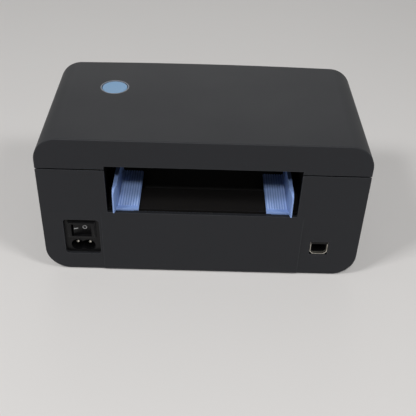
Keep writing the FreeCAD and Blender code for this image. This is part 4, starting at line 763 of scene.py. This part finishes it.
def rockerFace(across):
    # height of the paddle's face above its pivot, in its own frame
    slope = (rockerMarks["tip"] - rockerMarks["valley"]) / rockerMarks["half"]
    return rockerMarks["valley"] + slope * abs(across) + rockerMarks["raise"]


def markStrip(inner, outer, closed):
    # a flat painted stroke between two lines of (across, up) points on the paddle
    shape = bmesh.new()
    rows = [[shape.verts.new((across, rockerFace(across), up)) for across, up in line]
            for line in (inner, outer)]
    bridge(shape, *rows, closed)
    bmesh.ops.recalc_face_normals(shape, faces=shape.faces)
    if sum(face.normal.y for face in shape.faces) < 0:
        bmesh.ops.reverse_faces(shape, faces=shape.faces)
    return meshFrom(shape, "mark", outward=False)


def makeRockerMarks():
    middle, (length, width) = rockerMarks["barPlace"], rockerMarks["barSize"]
    ends = (middle - length / 2, middle + length / 2)
    bar = markStrip([(end, -width / 2) for end in ends], [(end, width / 2) for end in ends], False)
    steps, outer = rockerMarks["ringSteps"], rockerMarks["ringRadius"]
    angles = [2 * math.pi * step / steps for step in range(steps)]
    rings = [[(rockerMarks["ringPlace"] + radius * math.cos(angle), radius * math.sin(angle))
              for angle in angles] for radius in (outer - rockerMarks["ringWidth"], outer)]
    ring = markStrip(*rings, True)
    marks = joinMeshes("rockerMarks", [(bar, Vector()), (ring, Vector())])
    turn = Matrix.Rotation(math.radians(rockerMarks["restAngle"]), 4, "Z")
    pivot = jointOf[rockerMarks["joint"]]["pos_m"]
    marks.transform(Matrix.Translation(pivot) @ turn @ Matrix.Scale(mm, 4))
    marks.materials.append(paintFinish(rockerMarks["look"]))
    addPiece("rockerMarks", marks, "black_plastic", "rocker")


makeRockerMarks()

# Raised frame around the rocker's window, edged with a thin dark strip: painted shade for the gap line
# between the frame and the housing
switchFrame = {"shift": 1.0, "opening": (13.8, 10.2), "border": (2.2, 1.3), "proud": 0.6, "bevel": 0.12,
               "shadeLineWidth": 0.5, "shadeLineProud": 0.06, "lift": 0.02, "smooth": 35}


def frameMesh(name, inner, outer, front):
    # a closed rectangular frame from its half sizes, around the origin and forward along Y
    shape = bmesh.new()
    corners = ((-1, -1), (1, -1), (1, 1), (-1, 1))
    loops = [[shape.verts.new((across * half[0], away, up * half[1])) for across, up in corners]
             for half, away in ((inner, 0.0), (inner, front), (outer, front), (outer, 0.0))]
    for first, second in zip(loops, loops[1:] + loops[:1]):
        bridge(shape, first, second)
    return meshFrom(shape, name)


def makeSwitchFrame():
    pivot = jointOf[rockerMarks["joint"]]["pos_m"]
    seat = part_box("inlet_housing")[1].y + switchFrame["lift"] * mm
    place = Matrix.Translation((pivot[0] + switchFrame["shift"] * mm, seat, pivot[2]))
    inner = [size * mm / 2 for size in switchFrame["opening"]]
    outer = [half + border * mm for half, border in zip(inner, switchFrame["border"])]
    shadeLineOuter = [half + switchFrame["shadeLineWidth"] * mm for half in outer]
    plain = frameMesh("switchFrame", inner, outer, switchFrame["proud"] * mm)
    rim = throughModifier(plain, "BEVEL", {
        "width": switchFrame["bevel"] * mm, "segments": softRules["segments"], "limit_method": "ANGLE"})
    smoothByAngle(rim, switchFrame["smooth"])
    # the dark strip round the frame is painted shade for the gap between the frame and the housing
    shadeLine = frameMesh("switchShadeLine", outer, shadeLineOuter, switchFrame["shadeLineProud"] * mm)
    for name, mesh, slot in (("switchFrame", rim, "black_plastic"), ("switchShadeLine", shadeLine, "socket_plastic")):
        mesh.transform(place)
        addPiece(name, mesh, slot, "base")


makeSwitchFrame()

# Inlet contacts with rounded noses
contactShape = {"nose": 0.9, "noseSteps": 6, "steps": 24, "smooth": 40}


def makeContacts():
    placed = []
    for low, high in islands("inlet_contacts"):
        radius = (high.x - low.x) / 2
        length = high.y - low.y
        nose = contactShape["nose"] * radius
        arc = [(radius * math.cos(angle), length - nose + nose * math.sin(angle))
               for angle in quarterTurn(contactShape["noseSteps"])]
        mesh = lathe([(0, 0), (radius, 0)] + arc[:-1] + [(0, length)], contactShape["steps"], "Y")
        placed.append((mesh, Vector(((low.x + high.x) / 2, low.y, (low.z + high.z) / 2))))
    addPiece("roundContacts", joinMeshes("inletContacts", placed), "plated_contact", "base",
             ["inlet_contacts"], contactShape["smooth"])


makeContacts()

# Data socket: contact strips on both faces of the tongue
tongueStrips = {"count": 2, "width": 1.0, "pitch": 2.4, "raise": 0.12, "inset": 0.6, "fromBack": 0.2,
                "bevel": 0.04, "tongueEdge": 0.3}


def makeTongueStrips():
    low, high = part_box("usb_tongue")
    middle = (low.x + high.x) / 2
    half, bevel = tongueStrips["width"] * mm / 2, tongueStrips["bevel"] * mm
    back, mouth = low.y + tongueStrips["fromBack"] * mm, high.y - tongueStrips["inset"] * mm
    placed = []
    for face, sign in ((high.z, 1), (low.z, -1)):
        edge = face + sign * tongueStrips["raise"] * mm
        under, over = min(face, edge), max(face, edge)
        for number in range(tongueStrips["count"]):
            across = middle + (number - (tongueStrips["count"] - 1) / 2) * tongueStrips["pitch"] * mm
            strip = boxMesh((across - half, back, under), (across + half, mouth, over), bevel)
            placed.append((strip, Vector()))
    addPiece("tongueStrips", joinMeshes("tongueStrips", placed), "plated_contact", "base")


makeTongueStrips()
softenNode("usb_tongue", tongueStrips["tongueEdge"])
socketLining = {"wall": 0.3, "shellWall": 0.4, "lip": 2.2, "cut": 2.2, "fromBack": 0.6, "gap": 0.02}


def makeSocketLining():
    # black insulator inside the shell: it follows the cut corners and stops short of the lip
    low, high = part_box("usb_shell")
    inset, wall, cut, gap = inMetres(socketLining, "shellWall", "wall", "cut", "gap")
    left, right, under, over = low.x + inset, high.x - inset, low.z + inset, high.z - inset
    back, mouth = low.y + socketLining["fromBack"] * mm, high.y - socketLining["lip"] * mm
    shape = bmesh.new()

    def ring(shrink, away):
        corner = cut * (1 - shrink / (right - left))
        leftHalf = [(left + shrink, over - shrink), (left + shrink, under + corner),
                    (left + corner, under + shrink)]
        rightHalf = [(left + right - across, up) for across, up in leftHalf[::-1]]
        return [shape.verts.new((across, away, up)) for across, up in leftHalf + rightHalf]

    outerBack, outerMouth = ring(gap, back), ring(gap, mouth)
    innerBack, innerMouth = ring(wall, back), ring(wall, mouth)
    bridge(shape, innerBack, innerMouth)
    bridge(shape, outerMouth, innerMouth)
    bridge(shape, outerBack, outerMouth)
    shape.faces.new(innerBack)
    shape.faces.new(outerBack)
    addPiece("socketLining", meshFrom(shape, "socketLining"), "socket_plastic", "base")


makeSocketLining()
# black strip over the socket shell's top rim: painted shade
socketShadeStrip = {"drop": 1.9, "thick": 0.2, "inset": 0.15, "lift": 0.02, "bevel": 0.04}


def makeSocketShadeStrip():
    # a black strip across the top of the shell's mouth: painted shade where the case opening's upper edge
    # shades the shell's top rim
    low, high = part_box("usb_shell")
    drop, thick, inset, lift, bevel = inMetres(socketShadeStrip, "drop", "thick", "inset", "lift", "bevel")
    shadeStrip = boxMesh((low.x + inset, high.y + lift, high.z - drop), (high.x - inset, high.y + thick, high.z),
                   bevel)
    addPiece("socketShadeStrip", shadeStrip, "socket_plastic", "base")


makeSocketShadeStrip()
print("rear fittings made")

# Feed button: a shallow dished cap inside its ring
feedCap = {"dish": 0.35, "lip": 0.5, "lipSteps": 6, "crownStep": 0.15, "crownRings": 6, "stem": 1.8,
           "rimShare": 0.98, "flangeLift": 0.15, "gap": 0.4, "steps": 96, "smooth": 35}


def distances(node, centre):
    # how far each point of a node lies from an upright axis, with its height
    return [((vert.co.xy - centre.xy).length, vert.co.z) for vert in nodes[node].data.vertices]


def makeFeedButton():
    low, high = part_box("feed_button")
    centre = (low + high) / 2
    flange = (high.x - low.x) / 2
    dish, lip, stem, gap, lift = inMetres(feedCap, "dish", "lip", "stem", "gap", "flangeLift")
    capRadius = min(distance for distance, height in distances("feed_ring", centre)) - gap
    rim = [height for distance, height in distances("feed_button", centre)
           if distance > feedCap["rimShare"] * flange]
    flangeUnder, flangeTop = min(rim) + lift, max(rim)
    shares = [feedCap["crownStep"] * number for number in range(feedCap["crownRings"])]
    crown = [(capRadius * share, high.z - dish * (1 - share * share)) for share in shares]
    edge = [(capRadius - lip * (1 - math.sin(angle)), high.z - lip * (1 - math.cos(angle)))
            for angle in quarterTurn(feedCap["lipSteps"])]
    profile = [(0, low.z), (stem, low.z), (stem, flangeUnder), (flange, flangeUnder), (flange, flangeTop),
               (capRadius, flangeTop)] + edge[::-1] + crown[::-1]
    mesh = lathe(profile, feedCap["steps"])
    mesh.transform(Matrix.Translation((centre.x, centre.y, 0)))
    addPiece("dishedFeedButton", mesh, "button_plastic", "feed_button", ["feed_button"], feedCap["smooth"])


makeFeedButton()

# Rubber feet with a cupped underside, from shares of their radius and height
footShape = {"cup": 0.35, "cupShare": 0.55, "treadFrom": 0.7, "treadTo": 0.93, "turnShare": 0.985,
             "turnUp": 0.06, "wallUp": 0.2, "steps": 40, "smooth": 40}


def footProfile(radius, tall):
    cup = footShape["cup"] * mm
    cupped, treadFrom, treadTo, turned = (footShape[key] * radius for key in (
        "cupShare", "treadFrom", "treadTo", "turnShare"))
    turnUp, wallUp = footShape["turnUp"] * tall, footShape["wallUp"] * tall
    return [(0, cup), (cupped, cup), (treadFrom, 0), (treadTo, 0), (turned, turnUp), (radius, wallUp),
            (radius, tall), (0, tall)]


addPiece("cuppedFeet", turnedCopies("feet", "rubber_feet", footProfile, footShape["steps"]), "foot_rubber",
         "base", ["rubber_feet"], footShape["smooth"])

# Capacitors: rolled cans with a groove, and a lid let into the top
canShape = {"groove": 0.5, "grooveUp": 1.6, "edge": 0.8, "roll": 0.24, "rim": 1.6, "seat": 1.76,
            "seatDrop": 0.2, "lidInset": 1.84, "lidDrop": 0.19, "lidCrown": 0.1, "steps": 40, "smooth": 35}


def canProfile(radius, tall):
    groove, up, edge, roll = inMetres(canShape, "groove", "grooveUp", "edge", "roll")
    rim, seat, drop = inMetres(canShape, "rim", "seat", "seatDrop")
    return [(0, 0), (radius - edge / 2, 0), (radius, edge / 2), (radius, up), (radius - groove, up + groove),
            (radius, up + 2 * groove), (radius, tall - edge), (radius - roll, tall - roll),
            (radius - edge, tall), (radius - rim, tall), (radius - seat, tall - drop), (0, tall - drop)]


def lidProfile(radius, tall):
    inset, drop, crown = inMetres(canShape, "lidInset", "lidDrop", "lidCrown")
    return [(0, tall - drop), (radius - inset, tall - drop), (0, tall - crown)]


addPiece("rolledCapacitors", turnedCopies("cans", "capacitors", canProfile, canShape["steps"]),
         "capacitor_sleeve", "base", ["capacitors"], canShape["smooth"])
addPiece("capacitorLids", turnedCopies("lids", "capacitors", lidProfile, canShape["steps"]),
         "sink_aluminium", "base")

# Circuit boards: packages with legs, and rows of small surface parts
packageShape = {"leg": (1.3, 0.42, 0.25), "legShare": 1 / 3, "pitch": 1.27, "lift": 0.15, "bevel": 0.25}


def makePackages():
    legs, bodies = [], []
    lift, pitch, bevel = inMetres(packageShape, "lift", "pitch", "bevel")
    legSize = tuple(side * mm for side in packageShape["leg"])
    legOut = packageShape["legShare"] * legSize[0]
    for low, high in islands("board_chips"):
        bodies.append((boxMesh((low.x, low.y, low.z + lift), high, bevel), Vector()))
        count = int((high.y - low.y) / pitch) - 1
        start = (low.y + high.y) / 2 - (count - 1) * pitch / 2
        for number in range(count):
            for side in (low.x - legOut, high.x + legOut):
                legs.append((side, start + number * pitch, low.z + legSize[2]))
    addPiece("boardPackages", joinMeshes("packages", bodies), "black_plastic", "base", ["board_chips"])
    growPiece("packageLegs", "chip", legs, {"Size": legSize}, "plated_contact", "base")


makePackages()
surfaceRows = {"size": (1.6, 0.8, 0.5), "fromEdges": (3.0, 6.0), "fromEnds": 9.0, "step": 3.1, "skipEvery": 5,
               "stagger": 2}


def makeSurfaceParts():
    low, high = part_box("main_board")
    size = tuple(side * mm for side in surfaceRows["size"])
    top = high.z + size[2] / 2
    rows = [edge + sign * inset * mm for edge, sign in ((low.x, 1), (high.x, -1))
            for inset in surfaceRows["fromEdges"]]
    ends, step = inMetres(surfaceRows, "fromEnds", "step")
    count = int((high.y - low.y - 2 * ends) / step)
    stagger, skipEvery = surfaceRows["stagger"], surfaceRows["skipEvery"]
    places = [(across, low.y + ends + number * step, top) for row, across in enumerate(rows)
              for number in range(count) if (number + stagger * row) % skipEvery]
    growPiece("surfaceParts", "chip", places, {"Size": size}, "head_ceramic", "base")


makeSurfaceParts()
print("boards dressed")

# Print head: the glazed bead that carries the heater line
headBead = {"width": 2.4, "rise": 0.14, "steps": 8, "inset": 2.0, "sink": 0.02, "smooth": 40}


def makeHeaterBead():
    low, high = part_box("print_head")
    platenLow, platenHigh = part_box("platen_rubber")
    middle = (platenLow.y + platenHigh.y) / 2
    width, rise, inset, sink = inMetres(headBead, "width", "rise", "inset", "sink")
    angles = [step * math.pi / headBead["steps"] for step in range(headBead["steps"] + 1)]
    section = [(middle + width / 2 * math.cos(angle), low.z + sink - rise * math.sin(angle))
               for angle in angles]
    shape = bmesh.new()
    rows = [[shape.verts.new((across, away, up)) for away, up in section]
            for across in (low.x + inset, high.x - inset)]
    bridge(shape, *rows)
    for row in rows:
        shape.faces.new(row)
    addPiece("heaterBead", meshFrom(shape, "heaterBead"), "black_plastic", "head", smooth=headBead["smooth"])


makeHeaterBead()
print("print head dressed")

# Camera at the photograph's angle, in a square picture
cameraPlace = {"place": (1.6, 432.4, 344.0), "azimuth": 0.785, "elevation": 37.205, "roll": 1.992,
               "focalPixels": 708.76, "picturePixels": 416, "sensor": 36.0, "clip": (0.01, 50)}


def makeCamera():
    azimuth, elevation, roll = (math.radians(cameraPlace[key]) for key in ("azimuth", "elevation", "roll"))
    ahead = Vector((-math.sin(azimuth) * math.cos(elevation), -math.cos(azimuth) * math.cos(elevation),
                    -math.sin(elevation)))
    right = ahead.cross(Vector((0, 0, 1))).normalized()
    up = right.cross(ahead)
    across = math.cos(roll) * right + math.sin(roll) * up
    upright = math.cos(roll) * up - math.sin(roll) * right
    data = bpy.data.cameras.new("rearCamera")
    data.sensor_width = cameraPlace["sensor"]
    data.lens = cameraPlace["sensor"] * cameraPlace["focalPixels"] / cameraPlace["picturePixels"]
    data.clip_start, data.clip_end = cameraPlace["clip"]
    scene.camera = addObject("rearCamera", data)
    turn = Matrix((across, upright, -ahead)).transposed()
    scene.camera.matrix_world = Matrix.Translation(Vector(cameraPlace["place"]) * mm) @ turn.to_4x4()


makeCamera()

# Floor and light
floorLook = {"name": "paleFloor", "size": 6.0, "colour": (0.78, 0.763, 0.75), "fade": 0.96,
             "rough": (0.6, 0.6), "specular": 0.2, "grainScale": 500.0, "patchScale": 3.0}
worldLook = {"colour": (0.57, 0.57, 0.56), "lightStrength": 0.25, "backdropStrength": 1.0}
lamps = {
    "rearKey": {"power": 8.0, "size": 0.16, "azimuth": 86.0, "elevation": 48.0, "distance": 1.6},
    "leftSoftbox": {"power": 10.0, "size": 0.35, "azimuth": 36.0, "elevation": 50.0, "distance": 1.8},
    "rightSoftbox": {"power": 7.5, "size": 0.35, "azimuth": 144.0, "elevation": 50.0, "distance": 1.8},
    "frontSoftbox": {"power": 4.2, "size": 1.7, "azimuth": 272.0, "elevation": 27.0, "distance": 2.2},
}


def makeFloor():
    half = floorLook["size"] / 2
    corners = [(-half, -half, 0), (half, -half, 0), (half, half, 0), (-half, half, 0)]
    mesh = bpy.data.meshes.new("floor")
    mesh.from_pydata(corners, [], [(0, 1, 2, 3)])
    mesh.materials.append(paintFinish(floorLook))
    addObject("floor", mesh)


def makeLamp(name, lamp):
    azimuth, elevation = math.radians(lamp["azimuth"]), math.radians(lamp["elevation"])
    toLamp = Vector((math.cos(azimuth) * math.cos(elevation), math.sin(azimuth) * math.cos(elevation),
                     math.sin(elevation)))
    data = bpy.data.lights.new(name, "AREA")
    data.energy = lamp["power"]
    data.size = lamp["size"]
    thing = addObject(name, data)
    thing.location = toLamp * lamp["distance"]
    thing.rotation_euler = (-toLamp).to_track_quat("-Z", "Y").to_euler()


def makeWorld():
    world = bpy.data.worlds.new("studio")
    world.use_nodes = True
    tree = world.node_tree
    tree.nodes.clear()
    out = tree.nodes.new("ShaderNodeOutputWorld")
    path = tree.nodes.new("ShaderNodeLightPath")
    colour = (*worldLook["colour"], 1.0)
    backgrounds = [wire(tree, "ShaderNodeBackground", Color=colour, Strength=worldLook[key]).outputs[0]
                   for key in ("lightStrength", "backdropStrength")]
    mix = tree.nodes.new("ShaderNodeMixShader")
    seen = mathNode(tree, "ADD", path.outputs["Is Camera Ray"], path.outputs["Is Glossy Ray"], True)
    seen = mathNode(tree, "ADD", seen, path.outputs["Is Transmission Ray"], True)
    for socket, source in zip(mix.inputs, (seen, *backgrounds)):
        tree.links.new(source, socket)
    tree.links.new(mix.outputs[0], out.inputs[0])
    scene.world = world


makeFloor()
for name, lamp in lamps.items():
    makeLamp(name, lamp)
makeWorld()
scene.view_settings.view_transform = "Standard"
print("studio set")
